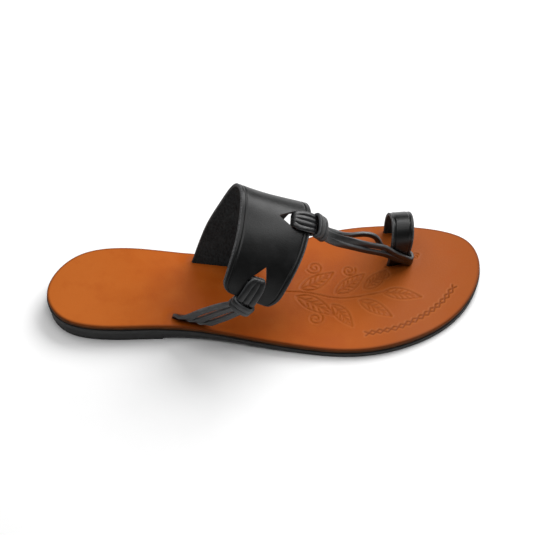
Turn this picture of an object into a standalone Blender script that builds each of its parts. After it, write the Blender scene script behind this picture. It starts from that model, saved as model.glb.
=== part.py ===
"""A right-foot leather sandal: flat sole, broad instep band, toe ring and two laces.

Metres, +Z up.  +X runs from the heel to the toe and +Y to the medial (big toe) side.
Every piece is modelled with the heel's back at x = 0 and the floor at z = 0, and an
empty then carries them all to the middle of the sandal's own box.
"""
import math

import bpy
import bmesh
import numpy as np

# Driving sizes, in metres; a slope's start and end, and a place along or across a piece,
# are shares of that piece's length or width
SOLE_LENGTH = 0.265
BALL_WIDTH = 0.095
SEAM_GAP = 0.0003

INSOLE_THICKNESS = 0.0030
OUTSOLE_THICKNESS = 0.0036
SOLE_EDGE_ROUND = 0.0006
OUTSOLE_LIP = 0.0004
HEEL_RISE = 0.0072
HEEL_SLOPE_START = 0.18
HEEL_SLOPE_END = 0.66
TOE_SPRING = 0.0030
TOE_SPRING_START = 0.86
HEEL_BLOCK_LENGTH = 0.069
HEEL_BLOCK_INSET = 0.0003
HEEL_STEP = 0.0020
SHANK_WEDGE_LENGTH = 0.043
SHANK_LIP = 0.0006

BAND_THICKNESS = 0.0021
BAND_RISE = 0.0800
BAND_CORNER = 0.0080
TRIANGLE_HEIGHT = 0.0115
TRIANGLE_WIDTH = 0.0145
TRIANGLE_FILL = 0.0030
TOP_HOLE_PLACE = 0.63
SIDE_HOLE_PLACE = 0.52

RING_THICKNESS = 0.0021
RING_RISE = 0.0330
RING_STRAP_WIDTH = 0.0135

LACE_WIDTH = 0.0040
LACE_THICKNESS = 0.0022
HITCH_THICKNESS = 0.0022
COLLAR_THICKNESS = 0.0085
HITCH_WIDTH = 0.0135
TOE_HITCH_DEPTH = 0.0110
TOE_HITCH_REACH = 0.0022
TOE_COLLAR_LEAD = 0.0052
SIDE_HITCH_DEPTH = 0.0140
SIDE_HITCH_REACH = 0.0026
SIDE_HITCH_SLANT = 0.14
SIDE_COLLAR_LEAD = 0.0060
COLLAR_LENGTH = 0.0078
COLLAR_HALF_BROAD = 0.0078
SIDE_STRAP_WIDTH = 0.0125
SIDE_STRAP_THICKNESS = 0.0024
SIDE_SLOT_PLACE = 0.316
SIDE_SLOT_MARGIN = 0.0045
SIDE_SLOT_TURN = -0.28

# Sole outline, once round from the heel's back along the medial side:
# share of the length, share of the ball width towards the medial side
SOLE_OUTLINE = (
    (0.000, -0.012), (0.030, 0.195), (0.075, 0.293), (0.145, 0.333), (0.250, 0.299),
    (0.360, 0.254), (0.455, 0.252), (0.540, 0.306), (0.625, 0.400), (0.740, 0.459),
    (0.850, 0.438), (0.935, 0.372), (0.982, 0.276), (1.000, 0.125), (0.975, -0.140),
    (0.910, -0.345), (0.820, -0.478), (0.700, -0.541), (0.580, -0.503), (0.450, -0.420),
    (0.320, -0.341), (0.200, -0.318), (0.100, -0.292), (0.035, -0.215),
)

# Instep band, a row from its slot over the instep to its free lateral end.  Shares of the
# sole length, ball width and band rise, first along its rear edge and then its front edge.
# Heights are over the top of the forefoot, except in the slot row, which stands on the insole.
BAND_RIBS = (
    # rear x, rear y, rear z, front x, front y, front z
    (0.332, 0.200, 0.000, 0.483, 0.147, 0.000),
    (0.353, 0.229, 0.275, 0.507, 0.202, 0.188),
    (0.375, 0.241, 0.485, 0.532, 0.232, 0.375),
    (0.409, 0.238, 0.730, 0.564, 0.228, 0.570),
    (0.436, 0.200, 0.918, 0.592, 0.163, 0.712),
    (0.447, 0.062, 1.000, 0.600, 0.021, 0.780),
    (0.442, -0.086, 0.962, 0.593, -0.112, 0.765),
    (0.432, -0.217, 0.908, 0.577, -0.244, 0.720),
    (0.415, -0.330, 0.812, 0.550, -0.363, 0.635),
    (0.392, -0.432, 0.640, 0.505, -0.463, 0.420),
)

# Toe ring, a row from its lateral leg over the toe to its medial leg.  Shares of the sole
# length and ball width for the rear edge, of the ring's rise for the height, and the lead of
# the front edge's side over the rear edge's, in ball widths
RING_RIBS = (
    # rear x, side, rise, front edge's lead to the side
    (0.784, 0.124, 0.000, 0.022),
    (0.784, 0.098, 0.330, 0.018),
    (0.785, 0.082, 0.660, 0.012),
    (0.787, 0.098, 0.900, 0.008),
    (0.789, 0.150, 1.000, 0.006),
    (0.790, 0.220, 0.970, 0.006),
    (0.790, 0.295, 0.800, 0.006),
    (0.790, 0.362, 0.530, 0.004),
    (0.790, 0.388, 0.260, 0.002),
    (0.790, 0.384, 0.000, 0.000),
)

# Toe lace, its two near strands from the collar to the ring's lateral leg and its far strand
# back: share of the way, and how far it lies off the straight line to the medial side and
# upwards, in ball widths
NEAR_STRAND_BOW = ((0.10, 0.000, -0.028), (0.25, 0.000, -0.040), (0.50, 0.000, -0.032), (0.80, 0.000, -0.014))
FAR_STRAND_BOW = ((0.10, 0.000, -0.048), (0.28, 0.016, -0.050), (0.50, 0.034, -0.040), (0.70, 0.040, 0.012),
                  (0.86, 0.020, 0.052))

# Toe lace round the ring's leg, slanting down outside it, round its front rim and back inside:
# height up the leg as a share of the ring's rise, share across the leg, and side, from -1 for
# outside to 1 for inside
TOE_LACE_TURN = (
    (0.709, -0.30, -1.20), (0.579, 0.05, -1.00), (0.418, 0.45, -1.00), (0.273, 0.80, -1.00),
    (0.200, 1.07, -0.80), (0.182, 1.13, 0.00), (0.182, 1.07, 0.80), (0.227, 0.75, 1.00),
    (0.394, 0.25, 1.00), (0.561, -0.25, 1.30),
)

# Side lace, between the collar and the slot: share of the way, and how far it bows outwards
# and down from the straight line, in ball widths
SIDE_LACE_BOW = (
    (0.22, 0.004, 0.004), (0.45, 0.016, 0.012), (0.68, 0.032, 0.010), (0.86, 0.034, -0.006),
    (0.96, 0.020, -0.020),
)


def spline_through(rows, samples, closed=False):
    """Cubic curve through the rows, evenly spaced by its own length."""
    rows = np.array(rows, dtype=float)
    if closed:
        rows = np.vstack([rows, rows[:1]])
    knots = np.concatenate([[0.0], np.cumsum(np.linalg.norm(np.diff(rows, axis=0), axis=1))])
    steps = np.diff(knots)
    count = len(rows)
    system = np.zeros((count, count))
    right = np.zeros((count, rows.shape[1]))
    for i in range(1, count - 1):
        system[i, i - 1] = steps[i - 1]
        system[i, i] = 2 * (steps[i - 1] + steps[i])
        system[i, i + 1] = steps[i]
        right[i] = 6 * ((rows[i + 1] - rows[i]) / steps[i] - (rows[i] - rows[i - 1]) / steps[i - 1])
    if closed:
        system[0, 0], system[0, -1] = 1, -1
        system[-1, 0], system[-1, 1] = 2 * steps[0], steps[0]
        system[-1, -2], system[-1, -1] = steps[-1], 2 * steps[-1]
        right[-1] = 6 * ((rows[1] - rows[0]) / steps[0] - (rows[-1] - rows[-2]) / steps[-1])
    else:
        system[0, 0] = system[-1, -1] = 1
    bend = np.linalg.solve(system, right)

    def at(place):
        i = int(np.clip(np.searchsorted(knots, place) - 1, 0, count - 2))
        a, b, h = knots[i + 1] - place, place - knots[i], steps[i]
        return ((bend[i] * a ** 3 + bend[i + 1] * b ** 3) / (6 * h)
                + (rows[i] / h - bend[i] * h / 6) * a + (rows[i + 1] / h - bend[i + 1] * h / 6) * b)

    fine = np.array([at(place) for place in np.linspace(0, knots[-1], 20 * samples)])
    lengths = np.concatenate([[0.0], np.cumsum(np.linalg.norm(np.diff(fine, axis=0), axis=1))])
    wanted = np.linspace(0, lengths[-1], samples + 1 if closed else samples)
    if closed:
        wanted = wanted[:-1]
    return np.column_stack([np.interp(wanted, lengths, fine[:, k]) for k in range(rows.shape[1])])


def smooth_step(share):
    share = min(max(share, 0.0), 1.0)
    return share * share * (3 - 2 * share)


def material(name, colour, roughness):
    made = bpy.data.materials.new(name)
    made.use_nodes = True
    shader = made.node_tree.nodes["Principled BSDF"]
    shader.inputs["Base Color"].default_value = (*colour, 1)
    shader.inputs["Roughness"].default_value = roughness
    shader.inputs["Metallic"].default_value = 0.0
    made.diffuse_color = (*colour, 1)
    return made


def mesh_object(name, points, faces, finish=None):
    mesh = bpy.data.meshes.new(name)
    mesh.from_pydata([tuple(p) for p in points], [], [tuple(f) for f in faces])
    shape = bmesh.new()
    shape.from_mesh(mesh)
    bmesh.ops.recalc_face_normals(shape, faces=shape.faces)
    bmesh.ops.triangulate(shape, faces=shape.faces)
    shape.to_mesh(mesh)
    shape.free()
    made = bpy.data.objects.new(name, mesh)
    bpy.context.collection.objects.link(made)
    if finish:
        mesh.materials.append(finish)
    return made


def combine(piece, tools, operation):
    """Joins the tools to the piece, or cuts them out of it, and removes the tools."""
    for tool in tools:
        tool.hide_render = True
        tool.display_type = 'WIRE'
        cut = piece.modifiers.new(tool.name, 'BOOLEAN')
        cut.operation = operation
        cut.solver = 'EXACT'
        cut.object = tool
    bpy.context.view_layer.update()
    ready = piece.evaluated_get(bpy.context.evaluated_depsgraph_get())
    finished = bpy.data.meshes.new_from_object(ready)
    piece.modifiers.clear()
    piece.data = finished
    for tool in tools:
        bpy.data.objects.remove(tool)
    shape = bmesh.new()
    shape.from_mesh(finished)
    bmesh.ops.remove_doubles(shape, verts=shape.verts, dist=0.000004)
    bmesh.ops.dissolve_degenerate(shape, edges=shape.edges, dist=0.000004)
    bmesh.ops.triangulate(shape, faces=shape.faces)
    shape.to_mesh(finished)
    shape.free()


# Sole heights, over the floor

def insole_top(x):
    """Level over the forefoot, up to the heel and a little up at the toe."""
    along = x / SOLE_LENGTH
    heel_share = 1 - smooth_step((along - HEEL_SLOPE_START) / (HEEL_SLOPE_END - HEEL_SLOPE_START))
    toe_share = max(along - TOE_SPRING_START, 0.0) / (1 - TOE_SPRING_START)
    return FOREFOOT_TOP + HEEL_RISE * heel_share + TOE_SPRING * toe_share ** 2


def insole_bottom(x):
    return insole_top(x) - INSOLE_THICKNESS


def outsole_top(x):
    return insole_bottom(x) - SEAM_GAP


def outsole_bottom(x):
    return outsole_top(x) - OUTSOLE_THICKNESS


def heel_top(x):
    return outsole_bottom(x) - SEAM_GAP


def heel_bottom(x):
    """Flat under the heel, then one step up and a wedge that thins along the shank."""
    if x <= HEEL_BLOCK_LENGTH:
        return 0.0
    share = (x - HEEL_BLOCK_LENGTH) / SHANK_WEDGE_LENGTH
    wedge_end = heel_top(HEEL_BLOCK_LENGTH + SHANK_WEDGE_LENGTH) - SHANK_LIP
    return HEEL_STEP + (wedge_end - HEEL_STEP) * share


FOREFOOT_TOP = OUTSOLE_THICKNESS + SEAM_GAP + INSOLE_THICKNESS
OUTLINE = spline_through([(x * SOLE_LENGTH, y * BALL_WIDTH) for x, y in SOLE_OUTLINE], 104, closed=True)


def outline_with_margin(margin):
    """The sole's outline moved outwards by the margin, or inwards by a negative one."""
    ahead = np.roll(OUTLINE, -1, axis=0) - np.roll(OUTLINE, 1, axis=0)
    outward = np.column_stack([ahead[:, 1], -ahead[:, 0]]) / np.linalg.norm(ahead, axis=1)[:, None]
    middle = OUTLINE.mean(axis=0)
    if np.sum(outward * (OUTLINE - middle)) < 0:
        outward = -outward
    return OUTLINE + outward * margin


def edge_side(x, medial):
    """How far to the side the sole's edge lies at x."""
    crossings = []
    for a, b in zip(OUTLINE, np.roll(OUTLINE, -1, axis=0)):
        if (a[0] - x) * (b[0] - x) <= 0 and a[0] != b[0]:
            crossings.append(a[1] + (b[1] - a[1]) * (x - a[0]) / (b[0] - a[0]))
    return max(crossings) if medial else min(crossings)


def sole_layer(name, margin, top, bottom, stations, finish, end_at=None):
    """A layer of the sole with the sole's outline, its rims rounded by one facet.

    Four rings are stacked at whole levels, cut across at each station, and every level is
    then moved to the height that its own rule gives.
    """
    shape = bmesh.new()
    rings = []
    for level, inset in enumerate((SOLE_EDGE_ROUND, 0.0, 0.0, SOLE_EDGE_ROUND)):
        rings.append([shape.verts.new((x, y, level)) for x, y in outline_with_margin(margin - inset)])
    count = len(rings[0])
    for low, high in zip(rings, rings[1:]):
        for i in range(count):
            j = (i + 1) % count
            shape.faces.new((low[i], low[j], high[j], high[i]))
    shape.faces.new(list(reversed(rings[0])))
    shape.faces.new(rings[-1])
    if end_at is not None:
        cut = bmesh.ops.bisect_plane(shape, geom=shape.verts[:] + shape.edges[:] + shape.faces[:],
                                     dist=0.00001, plane_co=(end_at, 0, 0), plane_no=(1, 0, 0),
                                     clear_outer=True)
        rim = [e for e in cut["geom_cut"] if isinstance(e, bmesh.types.BMEdge)]
        bmesh.ops.contextual_create(shape, geom=rim)
    for x in stations:
        bmesh.ops.bisect_plane(shape, geom=shape.verts[:] + shape.edges[:] + shape.faces[:],
                               dist=0.00001, plane_co=(x, 0, 0), plane_no=(1, 0, 0))
    for v in shape.verts:
        x, level = v.co.x, round(v.co.z)
        high, low = top(x), bottom(x)
        rim = min(SOLE_EDGE_ROUND, 0.25 * (high - low))
        v.co.z = (low, low + rim, high - rim, high)[level]
    bmesh.ops.recalc_face_normals(shape, faces=shape.faces)
    bmesh.ops.triangulate(shape, faces=shape.faces, ngon_method='EAR_CLIP')
    mesh = bpy.data.meshes.new(name)
    shape.to_mesh(mesh)
    shape.free()
    made = bpy.data.objects.new(name, mesh)
    bpy.context.collection.objects.link(made)
    mesh.materials.append(finish)
    return made


# Straps: a ruled surface between a rear edge and a front edge

class StrapSurface:
    """Places points by length along the strap, share across it and height off its face."""

    def __init__(self, rear_rows, front_rows, far_end_drops=False):
        self.far_end_drops = far_end_drops
        rows = np.hstack([rear_rows, front_rows])
        line = spline_through(rows, 200)
        self.rear, self.front = line[:, :3], line[:, 3:]
        middle = (self.rear + self.front) / 2
        self.places = np.concatenate([[0.0], np.cumsum(np.linalg.norm(np.diff(middle, axis=0), axis=1))])
        self.length = self.places[-1]
        self.width = float(np.mean(np.linalg.norm(self.front - self.rear, axis=1)))

    def edge(self, line, along):
        inside = min(max(along, 0.0), self.length)
        point = np.array([np.interp(inside, self.places, line[:, k]) for k in range(3)])
        if along < 0:
            point[2] += along
        elif along > self.length and self.far_end_drops:
            point[2] -= along - self.length
        elif along > self.length:
            point += (line[-1] - line[-2]) / (self.places[-1] - self.places[-2]) * (along - self.length)
        return point

    def flat(self, along, across):
        return self.edge(self.rear, along) * (1 - across) + self.edge(self.front, along) * across

    def point(self, along, across, lift):
        step = 0.001
        ahead = self.flat(along + step, across) - self.flat(along - step, across)
        aside = self.flat(along, across + 0.02) - self.flat(along, across - 0.02)
        normal = np.cross(ahead, aside)
        return self.flat(along, across) + normal / np.linalg.norm(normal) * lift


def strap_shell(name, surface, along_places, span, across_count, lifts, finish=None):
    """A closed wall on a strap's surface; span gives the low and high share across it."""
    points, faces = [], []
    rows = len(along_places)
    low_lift, high_lift = lifts
    for lift in (low_lift, high_lift):
        for along in along_places:
            low, high = span(along)
            for j in range(across_count):
                points.append(surface.point(along, low + (high - low) * j / (across_count - 1), lift))

    def number(layer, i, j):
        return (layer * rows + i) * across_count + j

    for i in range(rows - 1):
        for j in range(across_count - 1):
            for layer in (0, 1):
                faces.append((number(layer, i, j), number(layer, i, j + 1),
                              number(layer, i + 1, j + 1), number(layer, i + 1, j)))
    for i in range(rows - 1):
        for j in (0, across_count - 1):
            faces.append((number(0, i, j), number(1, i, j), number(1, i + 1, j), number(0, i + 1, j)))
    for j in range(across_count - 1):
        for i in (0, rows - 1):
            faces.append((number(0, i, j), number(0, i, j + 1), number(1, i, j + 1), number(1, i, j)))
    return mesh_object(name, points, faces, finish)


def stop_over_outsole(piece):
    """Ends a piece's feet at the insole's underside."""
    for v in piece.data.vertices:
        v.co.z = max(v.co.z, insole_bottom(v.co.x))


def whole_width(along):
    return 0.0, 1.0


def sweep(name, rings, closed, finish=None):
    """A tube through rings of equal count, with flat caps unless it closes on itself."""
    count = len(rings[0])
    points = [p for ring in rings for p in ring]
    faces = []
    for i in range(len(rings) if closed else len(rings) - 1):
        j = (i + 1) % len(rings)
        for a in range(count):
            b = (a + 1) % count
            faces.append((i * count + a, i * count + b, j * count + b, j * count + a))
    if not closed:
        faces.append(tuple(range(count)))
        faces.append(tuple(range((len(rings) - 1) * count, len(rings) * count)))
    return mesh_object(name, points, faces, finish)


def lace_section(width, thickness, strands):
    """Half-outline pairs (side, rise) of parallel strands lying side by side."""
    pitch = width / strands
    top = []
    for strand in range(strands):
        left = -width / 2 + strand * pitch
        for share, rise in ((0.12, 0.32), (0.30, 0.50), (0.70, 0.50), (0.88, 0.32)):
            top.append((left + share * pitch, rise * thickness))
    return top + [(side, -rise) for side, rise in reversed(top)]


def flat_lace(name, route, width, thickness, strands, side_rows, finish=None, widths=None):
    """A lace along the route; side_rows are the directions of its width, one for each point.

    widths, if given, are how many times the width it measures at each point.
    """
    rings = []
    section = lace_section(width, thickness, strands)
    for i, here in enumerate(route):
        ahead = route[min(i + 1, len(route) - 1)] - route[max(i - 1, 0)]
        ahead = ahead / np.linalg.norm(ahead)
        side = side_rows[i] - ahead * np.dot(side_rows[i], ahead)
        side = side / np.linalg.norm(side)
        rise = np.cross(ahead, side)
        swell = 1 if widths is None else widths[i]
        rings.append([here + side * a * swell + rise * b for a, b in section])
    return sweep(name, rings, False, finish)


def hitch(name, place, hole_depth, reach, finish=None):
    """Strands wrapped over a strap's rim: out of its triangle, over the rim and back inside.

    place(side, depth, lift) gives the point at that distance along the rim, in from the rim
    and off the strap's outer face; hole_depth is where the strands come up out of the hole,
    and reach is how far past the rim they turn.
    """
    half = HITCH_THICKNESS / 2
    outer = SEAM_GAP + half
    inner = -BAND_THICKNESS - SEAM_GAP - half
    # depth in from the rim, lift, share of the full width
    path = (
        (hole_depth, inner * 0.35, 0.58), (hole_depth - 0.0006, outer * 0.75, 0.66),
        (hole_depth - 0.0026, outer, 0.86), (hole_depth * 0.42, outer + 0.0003, 1.0),
        (0.0006, outer + 0.0001, 1.0), (0.0006 - reach, outer * 0.55, 0.96),
        (-reach, (outer + inner) / 2, 0.94), (0.0006 - reach, inner * 0.86, 0.94),
        (0.0008, inner - 0.0002, 0.92), (hole_depth * 0.45, inner - 0.0002, 0.84),
        (hole_depth - 0.0016, inner - 0.0001, 0.66),
    )
    # the share is scaled down so that it hardly counts in the curve's own length
    loop = spline_through([(a, b, share * half) for a, b, share in path], 28, closed=True)
    rings = []
    for i, (depth, lift, scaled_share) in enumerate(loop):
        before, after = loop[i - 1], loop[(i + 1) % len(loop)]
        run = np.array([after[0] - before[0], after[1] - before[1]])
        run = run / np.linalg.norm(run)
        out = np.array([run[1], -run[0]])
        ring = []
        for side, rise in lace_section(HITCH_WIDTH * scaled_share / half, HITCH_THICKNESS, 3):
            ring.append(place(side, depth + out[0] * rise, lift + out[1] * rise))
        rings.append(ring)
    return sweep(name, rings, True, finish)


def collar(name, middle, axis, broad, thickness, length, finish=None):
    """A barrel of two turns of lace round the strands; axis is the strands' direction."""
    axis = axis / np.linalg.norm(axis)
    side = broad - axis * np.dot(broad, axis)
    half_broad = np.linalg.norm(side)
    side = side / half_broad
    rise = np.cross(axis, side)
    profile = ((-0.50, 0.58), (-0.42, 0.86), (-0.25, 1.00), (-0.08, 0.90), (0.0, 0.84),
               (0.08, 0.90), (0.25, 1.00), (0.42, 0.86), (0.50, 0.58))
    rings = []
    for along, swell in profile:
        ring = []
        for k in range(20):
            turn = 2 * math.pi * k / 20
            a, b = math.cos(turn), math.sin(turn)
            a = math.copysign(abs(a) ** 0.75, a)
            b = math.copysign(abs(b) ** 0.75, b)
            reach = half_broad - (1 - swell) * thickness / 2
            ring.append(middle + axis * along * length + side * a * reach + rise * b * swell * thickness / 2)
        rings.append(ring)
    return sweep(name, rings, False, finish)


def triangle_cutter(name, place, hole_depth):
    """The prism of a triangular hole whose base runs along the rim, under the hitch's strands."""
    base = hole_depth - TRIANGLE_FILL
    corners = ((-TRIANGLE_WIDTH / 2, base), (TRIANGLE_WIDTH / 2, base), (0.0, base + TRIANGLE_HEIGHT))
    rings = []
    for lift in (-2.5 * BAND_THICKNESS, 1.5 * BAND_THICKNESS):
        ring = []
        for (a, b), (c, d) in zip(corners, corners[1:] + corners[:1]):
            for share in (0.08, 0.5, 0.92):
                ring.append(place(a + (c - a) * share, b + (d - b) * share, lift))
        rings.append(ring)
    return sweep(name, rings, False)


# Instep band

def band_surface():
    rear, front = [], []
    for i, (rx, ry, rz, fx, fy, fz) in enumerate(BAND_RIBS):
        base_rear = insole_top(rx * SOLE_LENGTH) if i == 0 else FOREFOOT_TOP
        base_front = insole_top(fx * SOLE_LENGTH) if i == 0 else FOREFOOT_TOP
        rear.append((rx * SOLE_LENGTH, ry * BALL_WIDTH, base_rear + rz * BAND_RISE))
        front.append((fx * SOLE_LENGTH, fy * BALL_WIDTH, base_front + fz * BAND_RISE))
    return StrapSurface(np.array(rear), np.array(front))


def band_span(along):
    """The whole width, drawn in by the round corners of the free end."""
    left = BAND.length - along
    if left >= BAND_CORNER:
        return 0.0, 1.0
    drawn = BAND_CORNER - math.sqrt(max(BAND_CORNER ** 2 - (BAND_CORNER - left) ** 2, 0.0))
    return drawn / BAND.width, 1 - drawn / BAND.width


BAND = band_surface()


def over_front_rim(side, depth, lift):
    """Place by the band's front rim, at its top triangle."""
    return BAND.point(TOP_HOLE_PLACE * BAND.length + side, 1 - depth / BAND.width, lift)


def over_free_end(side, depth, lift):
    """Place by the band's free end, at its lateral triangle; strands slant to the rear."""
    across = SIDE_HOLE_PLACE + (side - SIDE_HITCH_SLANT * (SIDE_HITCH_DEPTH - depth)) / BAND.width
    return BAND.point(BAND.length - depth, across, lift)


def make_band(finish):
    straight = np.linspace(0.0, BAND.length - BAND_CORNER, 34)
    corner = BAND.length - BAND_CORNER + BAND_CORNER * np.sin(np.linspace(0, math.pi / 2, 7))[1:]
    places = np.concatenate([[-INSOLE_THICKNESS], straight, corner])
    band = strap_shell("instep_band", BAND, places, band_span, 9, (-BAND_THICKNESS, 0.0), finish)
    stop_over_outsole(band)
    combine(band, [triangle_cutter("top_triangle", over_front_rim, TOE_HITCH_DEPTH),
                   triangle_cutter("side_triangle", over_free_end, SIDE_HITCH_DEPTH)], 'DIFFERENCE')
    return band


# Toe ring

def ring_surface():
    rear, front = [], []
    for i, (x, side, rise, lead) in enumerate(RING_RIBS):
        for rows, at_x, at_side in ((rear, x * SOLE_LENGTH, side), (front, x * SOLE_LENGTH + RING_STRAP_WIDTH,
                                                                  side + lead)):
            base = insole_top(at_x) if i in (0, len(RING_RIBS) - 1) else FOREFOOT_TOP
            rows.append((at_x, at_side * BALL_WIDTH, base + rise * RING_RISE))
    return StrapSurface(np.array(rear), np.array(front), far_end_drops=True)


RING = ring_surface()


def make_ring(finish):
    depth = INSOLE_THICKNESS
    places = np.concatenate([[-depth], np.linspace(0.0, RING.length, 40), [RING.length + depth]])
    ring = strap_shell("toe_ring", RING, places, whole_width, 4, (-RING_THICKNESS, 0.0), finish)
    stop_over_outsole(ring)
    return ring


def slot_cutter(name, surface, thickness, far_end=False):
    """What a strap's leg needs clear in the insole: the leg and the seam gap all round it."""
    margin = SEAM_GAP / surface.width
    places = np.linspace(-2 * INSOLE_THICKNESS, 0.5 * INSOLE_THICKNESS, 7)
    if far_end:
        places = surface.length - places[::-1]
    return strap_shell(name, surface, places, lambda along: (-margin, 1 + margin), 9,
                       (-thickness - SEAM_GAP, SEAM_GAP))


# Laces

def strand_rows(start, end, bow):
    """Rows of one strand between two points, off the straight line by the bow's shares."""
    rows = []
    for share, medial, up in bow:
        here = start + (end - start) * share
        rows.append(here + np.array((0.0, medial * BALL_WIDTH, up * BALL_WIDTH)))
    return rows


def toe_lace_rows():
    """Middle of the toe lace, the directions of its width and its width, all the way round.

    The lace is two strands wide until it is round the ring's front rim, and one on its way back.
    """
    middle = over_front_rim(0.0, -TOE_COLLAR_LEAD, -BAND_THICKNESS / 2)
    beside = over_front_rim(0.001, -TOE_COLLAR_LEAD, 0.0) - over_front_rim(-0.001, -TOE_COLLAR_LEAD, 0.0)
    broad = beside / np.linalg.norm(beside)
    half = RING_THICKNESS / 2
    clear = half + 2.6 * SEAM_GAP + LACE_THICKNESS / 2
    turn = [RING.point(rise * RING_RISE, across, side * clear - half) for rise, across, side in TOE_LACE_TURN]
    start, end = middle + broad * LACE_WIDTH / 2, middle - broad * LACE_WIDTH
    near = strand_rows(start, turn[0], NEAR_STRAND_BOW)
    away = strand_rows(end, turn[-1], FAR_STRAND_BOW)
    rows = 90
    route = spline_through([start] + near + turn + away[::-1] + [end], rows)
    down_leg = RING.flat(0.0, 0.5) - RING.flat(TOE_LACE_TURN[0][0] * RING_RISE, 0.5)
    down_leg = down_leg / np.linalg.norm(down_leg)
    rim = max(range(rows), key=lambda i: route[i][0])
    sides, widths = [], []
    for i in range(rows):
        share = smooth_step(min(i / (0.6 * rim), (rows - 1 - i) / (0.5 * (rows - rim))))
        flat = broad if i < rim else -broad
        sides.append(flat * (1 - share) + down_leg * share)
        widths.append(2 - smooth_step((i - rim - 2) / 5))
    return middle, broad, route, sides, widths


def make_toe_lace(finish):
    """Hitch over the band's front rim, collar, and a loop round the ring's lateral leg."""
    wraps = hitch("toe_lace", over_front_rim, TOE_HITCH_DEPTH, TOE_HITCH_REACH, finish)
    middle, broad, route, sides, widths = toe_lace_rows()
    bead = collar("toe_collar", middle, route[5] - route[0], broad * COLLAR_HALF_BROAD,
                  COLLAR_THICKNESS, COLLAR_LENGTH)
    loop = flat_lace("toe_loop", route, LACE_WIDTH, LACE_THICKNESS, 2, sides, widths=widths)
    combine(wraps, [bead, loop], 'UNION')
    return wraps


def side_lace_rows():
    """Middle of the side lace and the direction of its width, from the collar down the slot."""
    middle = over_free_end(0.0, -SIDE_COLLAR_LEAD, -BAND_THICKNESS / 2)
    slot_x = SIDE_SLOT_PLACE * SOLE_LENGTH
    slot_y = edge_side(slot_x, medial=False) + SIDE_SLOT_MARGIN + SIDE_STRAP_THICKNESS / 2
    slot = np.array((slot_x, slot_y, insole_top(slot_x)))
    rows = [middle]
    for share, outward, drop in SIDE_LACE_BOW:
        here = middle + (slot - middle) * share
        here = here + np.array((0.0, -outward * BALL_WIDTH, -drop * BALL_WIDTH))
        rows.append(here)
    knee = slot + np.array((0.0, 0.0, SIDE_STRAP_THICKNESS))
    rows.append(knee)
    route = spline_through(rows, 24)
    along_slot = np.array((1.0, SIDE_SLOT_TURN, 0.0))
    along_rim = BAND.front[-1] - BAND.rear[-1]
    along_rim = along_rim / np.linalg.norm(along_rim)
    sides = [along_rim + (along_slot - along_rim) * smooth_step(i / 20) for i in range(24)]
    foot = slot - np.array((0.0, 0.0, INSOLE_THICKNESS))
    return np.vstack([route, [slot, foot]]), sides + [along_slot, along_slot]


def make_side_lace(finish):
    """Hitch over the band's free end, collar, and three strands down to the lateral slot."""
    wraps = hitch("side_lace", over_free_end, SIDE_HITCH_DEPTH, SIDE_HITCH_REACH, finish)
    route, sides = side_lace_rows()
    bead = collar("side_collar", route[0], route[3] - route[0], sides[0] * COLLAR_HALF_BROAD,
                  COLLAR_THICKNESS, COLLAR_LENGTH)
    strap = flat_lace("side_strap", route, SIDE_STRAP_WIDTH, SIDE_STRAP_THICKNESS, 3, sides)
    stop_over_outsole(strap)
    combine(wraps, [bead, strap], 'UNION')
    return wraps


def side_slot_cutter():
    route, sides = side_lace_rows()
    slot, along_slot = route[-2], sides[-1] / np.linalg.norm(sides[-1])
    aside = np.array((-along_slot[1], along_slot[0], 0.0))
    half_long = SIDE_STRAP_WIDTH / 2 + SEAM_GAP
    half_wide = SIDE_STRAP_THICKNESS / 2 + SEAM_GAP
    rings = []
    for z in (-2 * INSOLE_THICKNESS, 0.5 * INSOLE_THICKNESS):
        ring = []
        for a, b in ((-1, -1), (1, -1), (1, 1), (-1, 1)):
            ring.append(slot + along_slot * a * half_long + aside * b * half_wide + np.array((0, 0, z)))
        rings.append(ring)
    return sweep("side_slot", rings, False)


# Sole

def make_sole(tan, black):
    stations = [SOLE_LENGTH * share for share in np.linspace(0.16, 0.70, 16)]
    stations += [SOLE_LENGTH * share for share in np.linspace(0.86, 0.98, 6)]
    insole = sole_layer("insole", 0.0, insole_top, insole_bottom, stations, tan)
    cutters = [slot_cutter("band_slot", BAND, BAND_THICKNESS),
               slot_cutter("ring_slot", RING, RING_THICKNESS),
               slot_cutter("ring_far_slot", RING, RING_THICKNESS, far_end=True),
               side_slot_cutter()]
    combine(insole, cutters, 'DIFFERENCE')
    outsole = sole_layer("outsole", OUTSOLE_LIP, outsole_top, outsole_bottom, stations, black)
    wedge_end = HEEL_BLOCK_LENGTH + SHANK_WEDGE_LENGTH
    breast = [HEEL_BLOCK_LENGTH, HEEL_BLOCK_LENGTH + HEEL_STEP * 0.6]
    steps = breast + [x for x in stations if x < wedge_end - 0.002 and abs(x - HEEL_BLOCK_LENGTH) > 0.004]
    heel = sole_layer("heel_block", -HEEL_BLOCK_INSET, heel_top, heel_bottom, sorted(steps), black,
                      end_at=wedge_end)
    return insole, outsole, heel


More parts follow.
